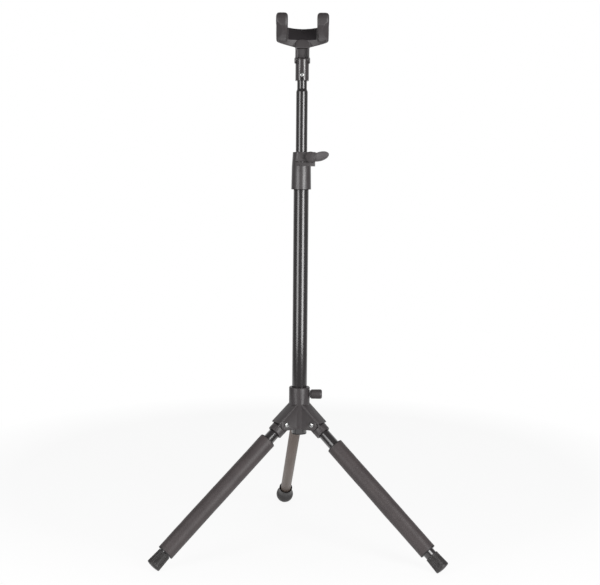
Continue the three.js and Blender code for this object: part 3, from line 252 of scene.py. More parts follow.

# %% [markdown]
# The yoke wears the same nylon with two changes that depend on the place. The inside of its wall, where
# the neck rests, lies in the shade of the horns, and a matt black shader mixed in there is painted shade.
# Below it the nylon is painted paler, as painted light from below, and paler still along the edges,
# partly as wear and partly as painted highlight: `Pointiness` finds those, because the yoke's mesh
# will be dense.

# %% The yoke's finish
WALL_OUTER, WALL_INNER, WALL_CENTRE, WALL_FOOT = 55.0, 48.0, -47.0, 569.1
WALL_BOTTOM, BEVEL_HEIGHT, BEVEL_DEPTH = 22.0, 11.0, 4.6
PAINTED_SHADE_HALF_WIDTH, PAINTED_SHADE_NEAR, PAINTED_SHADE_FAR = 22.6, 0.5, 0.9
FLAT_ANGLE, EDGE_ANGLE = 0.505, 0.55
TO_WALL = COLUMN @ Matrix.Translation((0, WALL_CENTRE * MM, WALL_FOOT * MM))


def yoke_painted_light_and_shade():
    """Nylon, with painted shade in matt black on the inner wall, between the horns and above the bevel."""
    finish = Finish("yoke_painted_light_and_shade")
    offset = finish.vector("SUBTRACT", finish.place, TO_WALL.translation)
    x, z = finish.axes(offset, "XZ")
    radius = finish.vector("LENGTH", finish.vector("MULTIPLY", offset, (1, 1, 0)), output="Value")
    bevel_top = WALL_BOTTOM + BEVEL_HEIGHT
    # Painted shade: these masks mark the inner wall, between the horns and above the bevel, which the
    # horns keep in shade.
    inside = finish.spread(radius, (WALL_INNER - PAINTED_SHADE_FAR) * MM, (WALL_INNER - PAINTED_SHADE_NEAR) * MM)
    inside *= 1 - finish.spread(radius, (WALL_INNER + PAINTED_SHADE_NEAR) * MM, (WALL_INNER + PAINTED_SHADE_FAR) * MM)
    between = 1 - finish.spread(x * x, (PAINTED_SHADE_HALF_WIDTH * MM) ** 2, ((PAINTED_SHADE_HALF_WIDTH + 1) * MM) ** 2)
    above = finish.spread(z, (bevel_top - PAINTED_SHADE_NEAR) * MM, (bevel_top + PAINTED_SHADE_NEAR) * MM)
    # Painted light: below the bevel's top the nylon is made paler, as if lit from below.
    lightened = 1 - finish.spread(z, (bevel_top - 1) * MM, (bevel_top + 3) * MM)
    # Paler edges: partly wear, partly a painted highlight where the edges catch the light.
    pointiness = finish.node("ShaderNodeNewGeometry", output="Pointiness")
    edges = finish.spread(pointiness, FLAT_ANGLE, EDGE_ANGLE)
    nylon = charcoal_nylon(finish, roughness=0.42, shine=0.6, toned=0.45 * lightened + 0.5 * edges)
    grain = finish.cloud(0.5, detail=3.0)
    # Painted shade: a matt black shader put on the inner wall, where there is only the horns' shade.
    black = finish.mix(grain, srgb("1f1c1e"), srgb("292527"))
    painted_shade = finish.surface(Base_Color=black, Roughness=0.7 + 0.15 * grain, Specular_IOR_Level=0.2)
    return finish.done(finish.either(inside * between * above, nylon, painted_shade))


YOKE_PAINTED_LIGHT_AND_SHADE = yoke_painted_light_and_shade()
print(YOKE_PAINTED_LIGHT_AND_SHADE.name)

# %% [markdown]
# The column and the front legs are steel tube under stoved gloss black. The coat is hard and glossy
# over a slightly wavy base, so a strip light shows in it as a bright line with soft edges. The rear leg
# has another paint, a warm grey satin with a little metal in it.

# %% Gloss black and grey satin paint
def gloss_black():
    finish = Finish("stoved_gloss_black")
    peel = finish.cloud(2.4, detail=1.0)
    haze = finish.cloud(45.0, detail=3.0)
    colour = finish.mix(finish.spread(haze, 0.35, 0.65), srgb("1b1819"), srgb("211d1e"))
    return finish.done(finish.surface(
        Base_Color=colour,
        Roughness=0.22 + 0.05 * haze,
        Specular_IOR_Level=0.85,
        Coat_Weight=0.45,
        Coat_Roughness=0.15,
        Normal=finish.bump(peel, 0.01, 0.05),
    ))


def grey_satin():
    finish = Finish("warm_grey_satin")
    flake = finish.cloud(0.7, detail=2.0)
    haze = finish.cloud(30.0, detail=3.0)
    colour = finish.mix(finish.spread(haze, 0.3, 0.7), srgb("62574f"), srgb("6b5f59"))
    return finish.done(finish.surface(
        Base_Color=colour,
        Metallic=0.1 + 0.1 * flake,
        Roughness=0.4 + 0.1 * haze,
        Normal=finish.bump(flake, 0.01, 0.25),
    ))


GLOSS_BLACK = gloss_black()
GREY_SATIN = grey_satin()
print(GLOSS_BLACK.name, GREY_SATIN.name)

# %% [markdown]
# The front legs' sleeves are cellular rubber. A Voronoi pattern gives the cut cells, a fine noise
# breaks them up, and a slow noise makes the sleeve a little lighter where it has rubbed. Use has
# smoothed the skin a little, so a light shows in it as one broad, soft band. Near the cut ends the
# colour is painted black: painted shade for the end faces, which turn away from the lights. How far a
# spot lies along the leg comes from a dot product with the leg's direction.

# %% Cellular foam
CELL_SIZE, PAINTED_END_SHADE, PAINTED_END_SHADE_FADE = 0.8, 0.8, 2.4


def cellular_foam(leg, start, end):
    """Worn foam with painted shade, black near its cut ends, whose places on the leg are given."""
    finish = Finish(leg + "_foam")
    sockets = {"Vector": finish.place, "Scale": 1 / (CELL_SIZE * MM)}
    cells = finish.node("ShaderNodeTexVoronoi", None, sockets)
    fine = finish.cloud(0.5, detail=3.0, roughness=0.7)
    lightened = finish.spread(finish.cloud(26.0, detail=4.0), 0.35, 0.7)
    skin = 0.6 * finish.spread(cells, 0.05, 0.55) + 0.4 * fine
    toned = finish.mix(0.55 * lightened + 0.45 * skin, srgb("352f30"), srgb("443d3d"))
    from_hub = finish.vector("SUBTRACT", finish.place, COLUMN.translation)
    direction = LEG[leg].to_3x3() @ Vector((1, 0, 0))
    along = finish.vector("DOT_PRODUCT", from_hub, direction, output="Value")
    # Painted shade: within a few millimetres of each cut end the colour goes to black.
    after_start = finish.spread(along, (start + PAINTED_END_SHADE) * MM, (start + PAINTED_END_SHADE_FADE) * MM)
    before_end = 1 - finish.spread(along, (end - PAINTED_END_SHADE_FADE) * MM, (end - PAINTED_END_SHADE) * MM)
    colour = finish.mix(after_start * before_end, srgb("0d0b0c"), toned)
    normal = finish.bump(skin, 0.1, 0.35)
    return finish.done(finish.surface(Base_Color=colour, Roughness=0.46 + 0.12 * fine, Normal=normal))


FOAM_ENDS = {"left": (78.7, 322.5), "right": (90.0, 315.8)}
FOAM = {leg: cellular_foam(leg, *ends) for leg, ends in FOAM_ENDS.items()}
print("Foam for", list(FOAM))

# %% [markdown]
# Three more finishes cover the small pieces: rubber with dust in its grain for the feet, bright zinc
# for the screws, and black nylon for the plug under the column and the bush inside it.

# %% Rubber, zinc and black nylon
def foot_rubber():
    finish = Finish("foot_rubber")
    grain = finish.cloud(0.7, detail=3.0)
    dust = finish.spread(finish.cloud(8.0, detail=5.0), 0.4, 0.75)
    colour = finish.mix(0.7 * dust + 0.3 * grain, srgb("262424"), srgb("333030"))
    normal = finish.bump(grain, 0.06, 0.4)
    return finish.done(finish.surface(Base_Color=colour, Roughness=0.42 + 0.2 * dust, Normal=normal))


def bright_zinc():
    finish = Finish("bright_zinc")
    spangle = finish.cloud(1.2, detail=3.0)
    colour = finish.mix(spangle, srgb("b0b2b3"), srgb("d2d2d0"))
    rough = 0.22 + 0.16 * spangle
    normal = finish.bump(spangle, 0.01, 0.3)
    return finish.done(finish.surface(Base_Color=colour, Metallic=1.0, Roughness=rough, Normal=normal))


def black_nylon():
    finish = Finish("black_nylon")
    grain = finish.cloud(0.8, detail=3.0)
    colour = finish.mix(grain, srgb("0f0d0e"), srgb("181516"))
    normal = finish.bump(grain, 0.03, 0.3)
    return finish.done(finish.surface(Base_Color=colour, Roughness=0.32 + 0.12 * grain, Normal=normal))


RUBBER = foot_rubber()
ZINC = bright_zinc()
NYLON = black_nylon()
print(RUBBER.name, ZINC.name, NYLON.name)

# %% [markdown]
# ## Turning
# Tubes, sleeves, caps, knobs and feet are turned pieces: one outline goes round an axis. Blender's Spin
# and the Screw modifier can do that, but writing the rings by hand gives clean poles and one closed
# skin. `settle` then makes the mesh a piece: it smooths the shading except at real edges, gives it its
# finish, puts it on the body that it rides on, and hides the CAD nodes that it stands for.

# %% Turn an outline, and settle a piece
def mesh_from(bm, name):
    """A mesh from a bmesh, with its faces outwards."""
    bmesh.ops.recalc_face_normals(bm, faces=bm.faces)
    mesh = bpy.data.meshes.new(name)
    bm.to_mesh(mesh)
    bm.free()
    return mesh


def linked(name, data):
    """A new object in the scene."""
    made = bpy.data.objects.new(name, data)
    bpy.context.scene.collection.objects.link(made)
    return made


def turn(outline, sides=80, place=Matrix.Identity(4)):
    """A closed mesh from (radius, height) points in millimetres, turned about Z.

    An outline that starts and ends off the axis makes a ring.
    """
    bm = bmesh.new()
    angles = [2 * math.pi * i / sides for i in range(sides)]
    rings = [
        [bm.verts.new((radius * MM * math.cos(a), radius * MM * math.sin(a), height * MM)) for a in angles]
        if radius > 0 else [bm.verts.new((0, 0, height * MM))]
        for radius, height in outline
    ]
    following = rings[1:] + ([rings[0]] if len(rings[0]) > 1 else [])
    for here, there in zip(rings, following):
        for i in range(sides):
            corners = [here[i % len(here)], here[(i + 1) % sides % len(here)]]
            corners += [there[(i + 1) % sides % len(there)], there[i % len(there)]]
            bm.faces.new(dict.fromkeys(corners))
    bm.transform(place)
    return mesh_from(bm, "turned")


ALONG = Matrix.Rotation(math.pi / 2, 4, "Y")


def settle(name, mesh, finish, body, replaced, sharp=35):
    """A finished piece from a mesh that is already in place."""
    mesh.materials.clear()
    mesh.materials.append(finish)
    mesh.shade_smooth()
    mesh.set_sharp_from_angle(angle=math.radians(sharp))
    piece = linked(name, mesh)
    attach(piece, body)
    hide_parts(*replaced)
    return piece


print("The lathe is ready")

# %% [markdown]
# ## The tubes
# A cut tube has an outer wall, an inner wall and a small lip where the cut was deburred. The upper tube
# is also drawn in to a narrower neck for the yoke's socket, and its outline follows half a cosine
# between the two radii.

# %% Five steel tubes
LOWER_RADIUS, LOWER_WALL, LOWER_TUBE_TOP = 12.5, 1.5, 396.9
SLIM_RADIUS, SLIM_WALL = 9.5, 1.2
NECK_RADIUS, NECK_LENGTH, DRAW_LENGTH = 8.0, 36.3, 5.9
UPPER_TUBE_BOTTOM, UPPER_TUBE_TOP = 230.7, 560.7
LEG_TUBE_START, LEG_TUBE_END = 54.3, {"left": 345.5, "right": 345.5, "rear": 337.7}


def tube(outer, wall, start, end, lip=0.35):
    """The outline of a tube with deburred ends."""
    inner = outer - wall
    return [
        (inner, start), (outer - lip, start), (outer - lip / 3, start + lip / 3), (outer, start + lip),
        (outer, end - lip), (outer - lip / 3, end - lip / 3), (outer - lip, end), (inner, end),
    ]


def drawn_tube(bottom, top, lip=0.3, steps=14):
    """The outline of the upper tube, which narrows to a neck near its top."""
    shares = [i / steps for i in range(steps + 1)]
    start = top - NECK_LENGTH - DRAW_LENGTH
    waves = [(1 + math.cos(math.pi * share)) / 2 for share in shares]
    radii = [NECK_RADIUS + (SLIM_RADIUS - NECK_RADIUS) * wave for wave in waves]
    heights = [start + DRAW_LENGTH * share for share in shares]
    outside = [(SLIM_RADIUS - lip, bottom), (SLIM_RADIUS, bottom + lip), *zip(radii, heights)]
    outside += [(NECK_RADIUS, top - lip), (NECK_RADIUS - lip, top)]
    return outside + [(radius - SLIM_WALL, height) for radius, height in reversed(outside)]


def settle_tube(name, outline, place, body, node, finish=GLOSS_BLACK, slot="gloss_black_tube"):
    piece = settle(name, turn(outline, sides=96, place=place), finish, body, [node])
    print(name, len(piece.data.polygons), "faces")


lower_outline = tube(LOWER_RADIUS, LOWER_WALL, LOWER_TUBE_BOTTOM, LOWER_TUBE_TOP)
upper_outline = drawn_tube(UPPER_TUBE_BOTTOM, UPPER_TUBE_TOP)
settle_tube("lower_tube_gloss", lower_outline, COLUMN, "lower_column", "lower_tube")
settle_tube("upper_tube_gloss", upper_outline, COLUMN, "upper_column", "upper_tube")
for leg, end in LEG_TUBE_END.items():
    node = leg + "_leg_tube"
    paint = (GREY_SATIN, "grey_tube") if leg == "rear" else ()
    outline = tube(SLIM_RADIUS, SLIM_WALL, LEG_TUBE_START, end)
    settle_tube(node + "_paint", outline, LEG[leg] @ ALONG, leg + "_leg", node, *paint)

# %% [markdown]
# ## The foam sleeves
# A foam sleeve is cut from a long extrusion and pushed over the leg, so it is never quite straight. Its
# outline has soft ends, and slow noise swells and pinches it by a few tenths of a millimetre. A cloth
# simulation would suit a loose cover, but this foam is firm and grips its tube, so moving the points in
# code is enough. The noise is a fixed function of place, so every run gives the same sleeve.

# %% Two foam sleeves
FOAM_INNER, FOAM_OUTER, FOAM_EDGE, FOAM_MIDDLE = 9.75, 14.1, 1.1, 11.0
LUMPS_ACROSS, LUMPS_ALONG = 40, 22
PITS_ACROSS, PITS_ALONG = 90, 60


def foam_outline(start, end, steps=70):
    """A long ring with quarter-round edges on its outside."""
    inset, edge = FOAM_OUTER - FOAM_EDGE, start + FOAM_EDGE
    bends = [math.pi / 2 * i / 6 for i in range(7)]
    near = [(inset + FOAM_EDGE * math.sin(a), edge - FOAM_EDGE * math.cos(a)) for a in bends]
    far = [(radius, start + end - height) for radius, height in reversed(near)]
    first, last = near[-1][1], far[0][1]
    middle = [(FOAM_OUTER, first + (last - first) * i / steps) for i in range(1, steps)]
    return [(FOAM_INNER, start + 0.4), *near, *middle, *far, (FOAM_INNER, end - 0.4)]


def swollen(mesh, seed, amount=0.35):
    """Moves the outside of a sleeve in and out by slow lumps and finer pits."""
    for vertex in mesh.vertices:
        x, y, z = vertex.co
        radius = math.hypot(x, y)
        if radius > FOAM_MIDDLE * MM:
            lumps = noise.noise(Vector((LUMPS_ACROSS * x, LUMPS_ACROSS * y, LUMPS_ALONG * z + seed)))
            pits = noise.noise(Vector((PITS_ACROSS * x, PITS_ACROSS * y, PITS_ALONG * z)))
            vertex.co.xy *= 1 + amount * MM * (lumps + 0.4 * pits) / radius
    return mesh


for leg, (start, end) in FOAM_ENDS.items():
    blank = swollen(turn(foam_outline(start, end), sides=72), seed=len(leg))
    blank.transform(LEG[leg] @ ALONG)
    node = leg + "_foam_sleeve"
    sleeve = settle(leg + "_foam_grip", blank, FOAM[leg], leg + "_leg", [node], sharp=60)
    print(sleeve.name, end - start, "mm long")

# %% [markdown]
# ## The ribbed caps
# Each front leg ends in a rubber cap: a cup with lengthwise ribs and a smooth chamfered ring at its
# end. The ribs repeat round the cup by a rule, which is work for Geometry Nodes. A Set Position node
# presses the grooves between the ribs into a smooth turned blank, so cup and ribs stay one skin. The
# rule is a wave round the axis that fades out towards both ends of the ribs.

# %% A geometry tree that presses grooves into a turned blank
RIB_EDGE, RIB_FADE, RIBS_OUTSIDE = 0.35, 1.0, 10.0


def geometry_tree(name, kinds):
    """A tree with these inputs: its group, the inputs' keys, the tree and the inputs' wires."""
    group = bpy.data.node_groups.new(name, "GeometryNodeTree")
    group.interface.new_socket(name="Geometry", in_out="OUTPUT", socket_type="NodeSocketGeometry")
    keys = {}
    for given, kind in {"Geometry": "Geometry", **kinds, "Finish": "Material"}.items():
        socket = group.interface.new_socket(name=given, in_out="INPUT", socket_type="NodeSocket" + kind)
        keys[given] = socket.identifier
    tree = Tree(group)
    return group, keys, tree, {given: tree.node("NodeGroupInput", output=given) for given in keys}


def end_tree(tree, shape, finish):
    """Makes instances real, paints the shape and sends it to the output."""
    real = tree.node("GeometryNodeRealizeInstances", None, {0: shape})
    painted = tree.node("GeometryNodeSetMaterial", None, {"Geometry": real, "Material": finish})
    tree.node("NodeGroupOutput", None, {"Geometry": painted})


def ribbing_tree():
    kinds = {"Ribs": "Float", "Depth": "Float", "Start": "Float", "End": "Float"}
    group, keys, tree, given = geometry_tree("ribbing", kinds)
    x, y, z = tree.axes(tree.node("GeometryNodeInputPosition"), "XYZ")
    wave = tree.scalar("COSINE", tree.scalar("ARCTAN2", y, x) * given["Ribs"])
    groove = tree.spread(wave, RIB_EDGE, -RIB_EDGE, curve="SMOOTHSTEP")
    past_start = tree.spread(z - given["Start"], 0.0, RIB_FADE * MM, curve="SMOOTHSTEP")
    before_end = tree.spread(given["End"] - z, 0.0, RIB_FADE * MM, curve="SMOOTHSTEP")
    outwards = tree.node("ShaderNodeCombineXYZ", None, {"X": x, "Y": y})
    radius = tree.vector("LENGTH", outwards, output="Value")
    outside = tree.scalar("GREATER_THAN", radius, RIBS_OUTSIDE * MM)
    press = -1.0 * (groove * past_start * before_end * outside * given["Depth"])
    offset = tree.vector("MULTIPLY", tree.vector("NORMALIZE", outwards), press)
    pressed = tree.node("GeometryNodeSetPosition", None, {"Geometry": given["Geometry"], "Offset": offset})
    end_tree(tree, pressed, given["Finish"])
    return group, keys


def taken_off(bench):
    """The plain mesh that a bench's modifiers make. The bench is cleared away."""
    evaluated = bench.evaluated_get(bpy.context.evaluated_depsgraph_get())
    made = bpy.data.meshes.new_from_object(evaluated)
    bpy.data.objects.remove(bench)
    return made


def run_tree(mesh, group, keys, **values):
    """Runs a geometry tree on a mesh, once, and gives back the mesh that it makes."""
    bench = linked("bench", mesh)
    modifier = bench.modifiers.new("tree", "NODES")
    modifier.node_group = group
    for name, value in values.items():
        modifier[keys[name]] = value
    return taken_off(bench)


ribbing, ribbing_keys = ribbing_tree()
print(len(ribbing.nodes), "nodes press the grooves")

# %% [markdown]
# A cap touches the floor on one side only, where the leg's slope meets it. Wear has made that spot
# flat, and the model has a small flat there too. `stand_on_floor` presses whatever lies under the floor
# up to it.

# %% Round off an outline's corners, and stand a foot on the floor
def softened(corners, steps=5):
    """An outline whose (radius, height, rounding) corners become short curves."""
    points = [Vector(corner[:2]) for corner in corners]
    outline = [tuple(points[0])]
    for before, here, after, corner in zip(points, points[1:], points[2:], corners[1:]):
        reach = corner[2]
        start = here + (before - here).normalized() * min(reach, (before - here).length / 2)
        end = here + (after - here).normalized() * min(reach, (after - here).length / 2)
        shares = [i / steps for i in range(steps + 1)] if reach > 0 else [0.5]
        outline += [tuple(start * (1 - s) ** 2 + here * (2 * s * (1 - s)) + end * s * s) for s in shares]
    return outline + [tuple(points[-1])]


def stand_on_floor(mesh):
    for vertex in mesh.vertices:
        vertex.co.z = max(vertex.co.z, 0.0)
    return mesh


def split_rows(outline, low, high, rows):
    """Adds rows to the outline between two of its heights, so that a tree has points to move there."""
    filled = []
    for (r0, h0), (r1, h1) in zip(outline, outline[1:]):
        filled.append((r0, h0))
        if min(h0, h1) >= low and max(h0, h1) <= high and abs(h1 - h0) > 2:
            filled += [(r0 + (r1 - r0) * i / rows, h0 + (h1 - h0) * i / rows) for i in range(1, rows)]
    return filled + [outline[-1]]


print("A square corner becomes", len(softened([(0, 0, 0), (1, 0, 0.3), (1, 1, 0)])) - 2, "points")

# %% Two ribbed caps
CAP_START, CAP_FLOOR, CAP_RING, CAP_END = 323.6, 345.8, 346.2, 349.8
RIB_COUNT, RIB_DEPTH, RIB_MARGIN = 20.0, 0.8, 0.6


def cap_blank():
    """The cap without its ribs: a cup with a wider ring at its end, closed by a slight dome."""
    corners = [
        (0, CAP_FLOOR, 0), (9.65, CAP_FLOOR, 0), (9.65, CAP_START, 0.2), (10.8, CAP_START, 0.4),
        (11.95, CAP_RING, 0.25), (12.0, CAP_RING + 0.3, 0.2), (12.0, CAP_END - 1.1, 0.9),
        (11.0, CAP_END, 0.9), (5.5, CAP_END + 1.0, 3.0), (0, CAP_END + 1.3, 0),
    ]
    return turn(split_rows(softened(corners), CAP_START - 1, CAP_RING + 1, rows=14), sides=240)


for leg in ("left", "right"):
    ribs = {"Ribs": RIB_COUNT, "Depth": RIB_DEPTH * MM}
    span = {"Start": (CAP_START + RIB_MARGIN) * MM, "End": (CAP_RING - RIB_MARGIN) * MM}
    cap = run_tree(cap_blank(), ribbing, ribbing_keys, **ribs, **span, Finish=RUBBER)
    cap.transform(LEG[leg] @ ALONG)
    stood = stand_on_floor(cap)
    piece = settle(leg + "_cap_ribbed", stood, RUBBER, leg + "_leg", [leg + "_leg_cap"])
    print(piece.name, len(piece.data.polygons), "faces")

# %% [markdown]
# ## The rear foot
# The rear leg stands on a rubber ball. A sleeve grips the tube, has a rolled rim at its mouth, necks in
# and then swells into the ball. It is one turned outline again, with the ball drawn as an arc from the
# neck to the pole.

# %% The ball foot of the rear leg
BALL_RADIUS, BALL_CENTRE, NECK_ANGLE, SLEEVE_LENGTH = 16.0, 338.0, math.radians(38), 28.0


def ball_foot(steps=28):
    mouth = BALL_CENTRE - SLEEVE_LENGTH
    flare = [(9.65, mouth + 4.4), (11.0, mouth + 3), (11.2, mouth + 0.3), (11.4, mouth)]
    rim = [*flare, (12.0, mouth), (12.25, mouth + 0.3), (12.25, mouth + 2.2), (11.9, mouth + 2.8)]
    angles = [-NECK_ANGLE + (NECK_ANGLE + math.pi / 2) * i / steps for i in range(steps)]
    ball = [(BALL_RADIUS * math.cos(a), BALL_CENTRE + BALL_RADIUS * math.sin(a)) for a in angles[1:]]
    below = [(11.7, BALL_CENTRE - 18), (12.1, BALL_CENTRE - 12.4)]
    return [(0, BALL_CENTRE), (9.65, BALL_CENTRE), *rim, *below, *ball, (0, BALL_CENTRE + BALL_RADIUS)]


foot = stand_on_floor(turn(ball_foot(), sides=96, place=LEG["rear"] @ ALONG))
settle("rear_ball_foot", foot, RUBBER, "rear_leg", ["rear_foot"])
print("The ball is", 2 * BALL_RADIUS, "mm across")

# %% [markdown]
# ## Knob, plug and bush
# The thumb knob on the hub is a plain moulded drum on a short neck, with a draft angle and round edges.
# The plug closes the lower tube from below, and the bush guides the upper tube inside the lower one.

# %% Turned plastic pieces
KNOB_HEIGHT = 20.2
KNOB_LINE = COLUMN @ Matrix.Translation((0, 0, KNOB_HEIGHT * MM)) @ ALONG
knob_corners = [
    (0, 17.55, 0), (6.3, 17.55, 0.3), (6.3, 19.65, 0.25), (7.8, 19.65, 0.6),
    (8.0, 35.0, 0.5), (7.4, 37.0, 1.2), (5.6, 37.75, 0.6), (0, 37.75, 0),
]
plug_corners = [
    (0, -46.6, 0), (12.5, -46.6, 0.4), (12.5, -45.4, 0.1), (10.85, -45.4, 0.1),
    (10.85, -33.1, 0.5), (8.85, -33.1, 0.3), (8.85, -45.0, 0.3), (0, -45.0, 0),
]
bush_outline = [(8.3, 228.4), (10.85, 228.4), (10.85, 258.4), (9.65, 258.4), (9.65, 230.4), (8.3, 230.4)]
knob = turn(softened(knob_corners), place=KNOB_LINE)
plug = turn(softened(plug_corners), place=COLUMN)
bush = turn(bush_outline, sides=64, place=COLUMN)
settle("knob_drum", knob, MOULDING, "hub_knob", ["hub_knob"])
settle("tube_plug", plug, NYLON, "end_plug", ["tube_end_plug"])
settle("glide_bush_nylon", bush, NYLON, "glide_bush", ["glide_bush"])
print("Knob, plug and bush turned")

# %% [markdown]
# ## Mouldings with rounded edges
# The hub, knuckles, clamp, lever and socket already have the right form in the CAD model, but its edges
# are knife sharp, and nothing moulded is. A copy of each mesh is merged, its flat faces are joined into
# one, and a Bevel modifier rounds every edge that turns by more than 30 degrees. That thin round is
# what catches the light and makes an edge look real.

# %% Round the edges of a moulding
SAME_POINT, FLAT_TURN, SHARP_TURN = 0.001, math.radians(0.5), math.radians(30)


def merged_copy(node):
    """A copy of a CAD node's mesh, with its doubles merged and its flat faces joined."""
    bm = bmesh.new()
    bm.from_mesh(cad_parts[node].data)
    bmesh.ops.remove_doubles(bm, verts=bm.verts, dist=SAME_POINT * MM)
    bmesh.ops.dissolve_limit(bm, angle_limit=FLAT_TURN, verts=bm.verts, edges=bm.edges)
    mesh = bpy.data.meshes.new(node)
    bm.to_mesh(mesh)
    bm.free()
    return mesh


def through_modifiers(mesh, modifiers):
    """The mesh that a list of (type, settings) modifiers makes."""
    bench = linked("bench", mesh)
    for kind, settings in modifiers:
        modifier = bench.modifiers.new(kind.lower(), kind)
        for key, value in settings.items():
            setattr(modifier, key, value)
    return taken_off(bench)


def rounded(node, width):
    bevel = {"width": width * MM, "segments": 3, "limit_method": "ANGLE", "angle_limit": SHARP_TURN}
    return through_modifiers(merged_copy(node), [("BEVEL", bevel)])


MOULDED_PIECES = [
    ("hub", 0.5, MOULDING, "hub"),
    ("left_knuckle", 0.6, MOULDING, "left_leg"),
    ("right_knuckle", 0.6, MOULDING, "right_leg"),
    ("rear_knuckle", 0.6, MOULDING, "rear_leg"),
    ("clamp_collar", 0.4, SATIN_MOULDING, "lower_column"),
    ("clamp_lever", 0.5, THUMBED_MOULDING, "clamp_lever"),
    ("yoke_socket", 0.4, SMOOTH_MOULDING, "upper_column"),
]
for node, width, finish, body in MOULDED_PIECES:
    piece = settle(node + "_moulded", rounded(node, width), finish, body, [node], sharp=40)
    print(piece.name, len(piece.data.polygons), "faces")

# %% [markdown]
# ## The yoke
# The yoke is the one organic piece: horns that swell out of a curved wall, on a stem that flares into
# it. Its blends are too round for a bevel. The copy is remeshed into even voxels, the points near the
# wall's two cylinders and its bevel are moved onto them so that no facet is left, and a Smooth modifier
# then relaxes all edges into soft fillets.

# %% Remesh and relax the yoke
VOXEL, WALL_REACH = 0.7, 0.3


def round_the_wall(mesh):
    """Moves points close to the wall's outside, inside or bevel onto the true cylinder or cone."""
    from_wall = TO_WALL.inverted()
    for vertex in mesh.vertices:
        here = from_wall @ vertex.co / MM
        radius, rise = here.xy.length, here.z - WALL_BOTTOM
        bevel = WALL_INNER + BEVEL_DEPTH * max(0.0, 1 - rise / BEVEL_HEIGHT)
        near = min((WALL_OUTER, bevel), key=lambda wanted: abs(radius - wanted))
        if rise > 0 and here.y > 0 and abs(radius - near) < WALL_REACH:
            here.xy *= near / radius
            vertex.co = TO_WALL @ (here * MM)
    return mesh


voxels = {"mode": "VOXEL", "voxel_size": VOXEL * MM}
even_skin = through_modifiers(merged_copy("yoke"), [("REMESH", voxels)])
yoke = through_modifiers(round_the_wall(even_skin), [("SMOOTH", {"factor": 0.5, "iterations": 9})])
settle("yoke_moulded", yoke, YOKE_PAINTED_LIGHT_AND_SHADE, "yoke", ["yoke"], sharp=180)
print("yoke", len(yoke.polygons), "faces")

# %% [markdown]
# ## Screws, nuts and pins
# The three pivot screws are alike, so one is modelled and a geometry tree puts it on three points. A
# point's `pointing` attribute says which way its screw faces. The head is turned with its real dome,
# and a Boolean modifier cuts the cross recess with two tapered blades.

# %% One pan head screw
DOME = [(1.0, 0.0), (1.0, 0.42), (0.95, 0.62), (0.84, 0.79), (0.68, 0.91), (0.45, 0.98), (0.2, 1.0)]
# The blade's length and width are shares of the head, and its tip's are shares of the blade.
BLADE_LENGTH, BLADE_WIDTH = 0.56, 0.14
TIP_LENGTH, TIP_WIDTH = 0.55, 0.7
RECESS_FLOOR = 0.2


def blade(length, width, bottom, top):
    """A blade for one arm of a cross recess. It tapers from top to bottom and stands 1 mm out above."""
    bm = bmesh.new()
    upper = [(x * length / 2, y * width / 2, top) for x, y in ((-1, -1), (1, -1), (1, 1), (-1, 1))]
    lower = [(TIP_LENGTH * x, TIP_WIDTH * y, bottom) for x, y, _ in upper]
    corners = [(x, y, top + 1) for x, y, _ in upper] + upper + lower
    rim = [bm.verts.new([MM * v for v in corner]) for corner in corners]
    for low in (0, 4):
        for i in range(4):
            j = (i + 1) % 4
            bm.faces.new([rim[low + i], rim[low + j], rim[low + 4 + j], rim[low + 4 + i]])
    bm.faces.new(rim[0:4])
    bm.faces.new(rim[8:12])
    return mesh_from(bm, "blade")


def pan_head_screw(shank, length, head, height):
    """A screw whose head stands on Z = 0 and whose shank hangs below it."""
    outline = [(0, -length), (shank / 2 - 0.4, -length), (shank / 2, 0.4 - length), (shank / 2, 0)]
    outline += [(head / 2 * r, height * h) for r, h in DOME] + [(0, height)]
    screw = turn(outline, sides=48)
    for quarter in (0, math.pi / 2):
        cutter = blade(BLADE_LENGTH * head, BLADE_WIDTH * head, RECESS_FLOOR, height)
        cutter.transform(Matrix.Rotation(quarter, 4, "Z"))
        tool = linked("blade", cutter)
        cut = {"operation": "DIFFERENCE", "solver": "EXACT", "object": tool}
        screw = through_modifiers(screw, [("BOOLEAN", cut)])
        bpy.data.objects.remove(tool)
    return screw


pivot_screw = pan_head_screw(shank=4.0, length=29.0, head=7.4, height=2.4)
print("One screw has", len(pivot_screw.polygons), "faces")

# %% A geometry tree that sets one screw on every point
def fastening_tree():
    group, keys, tree, given = geometry_tree("fastening", {"Fastener": "Object"})
    shape = tree.node("GeometryNodeObjectInfo", None, {"Object": given["Fastener"]}, output="Geometry")
    kind = {"data_type": "FLOAT_VECTOR"}
    pointing = tree.node("GeometryNodeInputNamedAttribute", kind, {"Name": "pointing"})
    facing = tree.node("FunctionNodeAlignRotationToVector", {"axis": "Z"}, {"Vector": pointing})
    sockets = {"Points": given["Geometry"], "Instance": shape, "Rotation": facing}
    end_tree(tree, tree.node("GeometryNodeInstanceOnPoints", None, sockets), given["Finish"])
    return group, keys


def points_with_directions(rows):
    """A mesh of loose points, each with the direction in which its fastener faces."""
    mesh = bpy.data.meshes.new("points")
    mesh.from_pydata([place for place, _ in rows], [], [])
    directions = mesh.attributes.new("pointing", "FLOAT_VECTOR", "POINT")
    for i, (_, direction) in enumerate(rows):
        directions.data[i].vector = direction
    return mesh


fastening, fastening_keys = fastening_tree()
print(len(fastening.nodes), "nodes place the screws")

# %% The three pivot screws
PIVOT_DISTANCE, PIVOT_FACE = 41.0, 12.2
HEAD_SIDE = {"left": 1, "right": -1, "rear": -1}


def pivot_face(leg, side):
    """Where a leg's pivot line leaves the hub's cheek on one side, and the direction outwards there."""
    along = LEG[leg].to_3x3() @ Vector((0, side, 0))
    return LEG[leg] @ Vector((PIVOT_DISTANCE * MM, side * PIVOT_FACE * MM, 0)), along


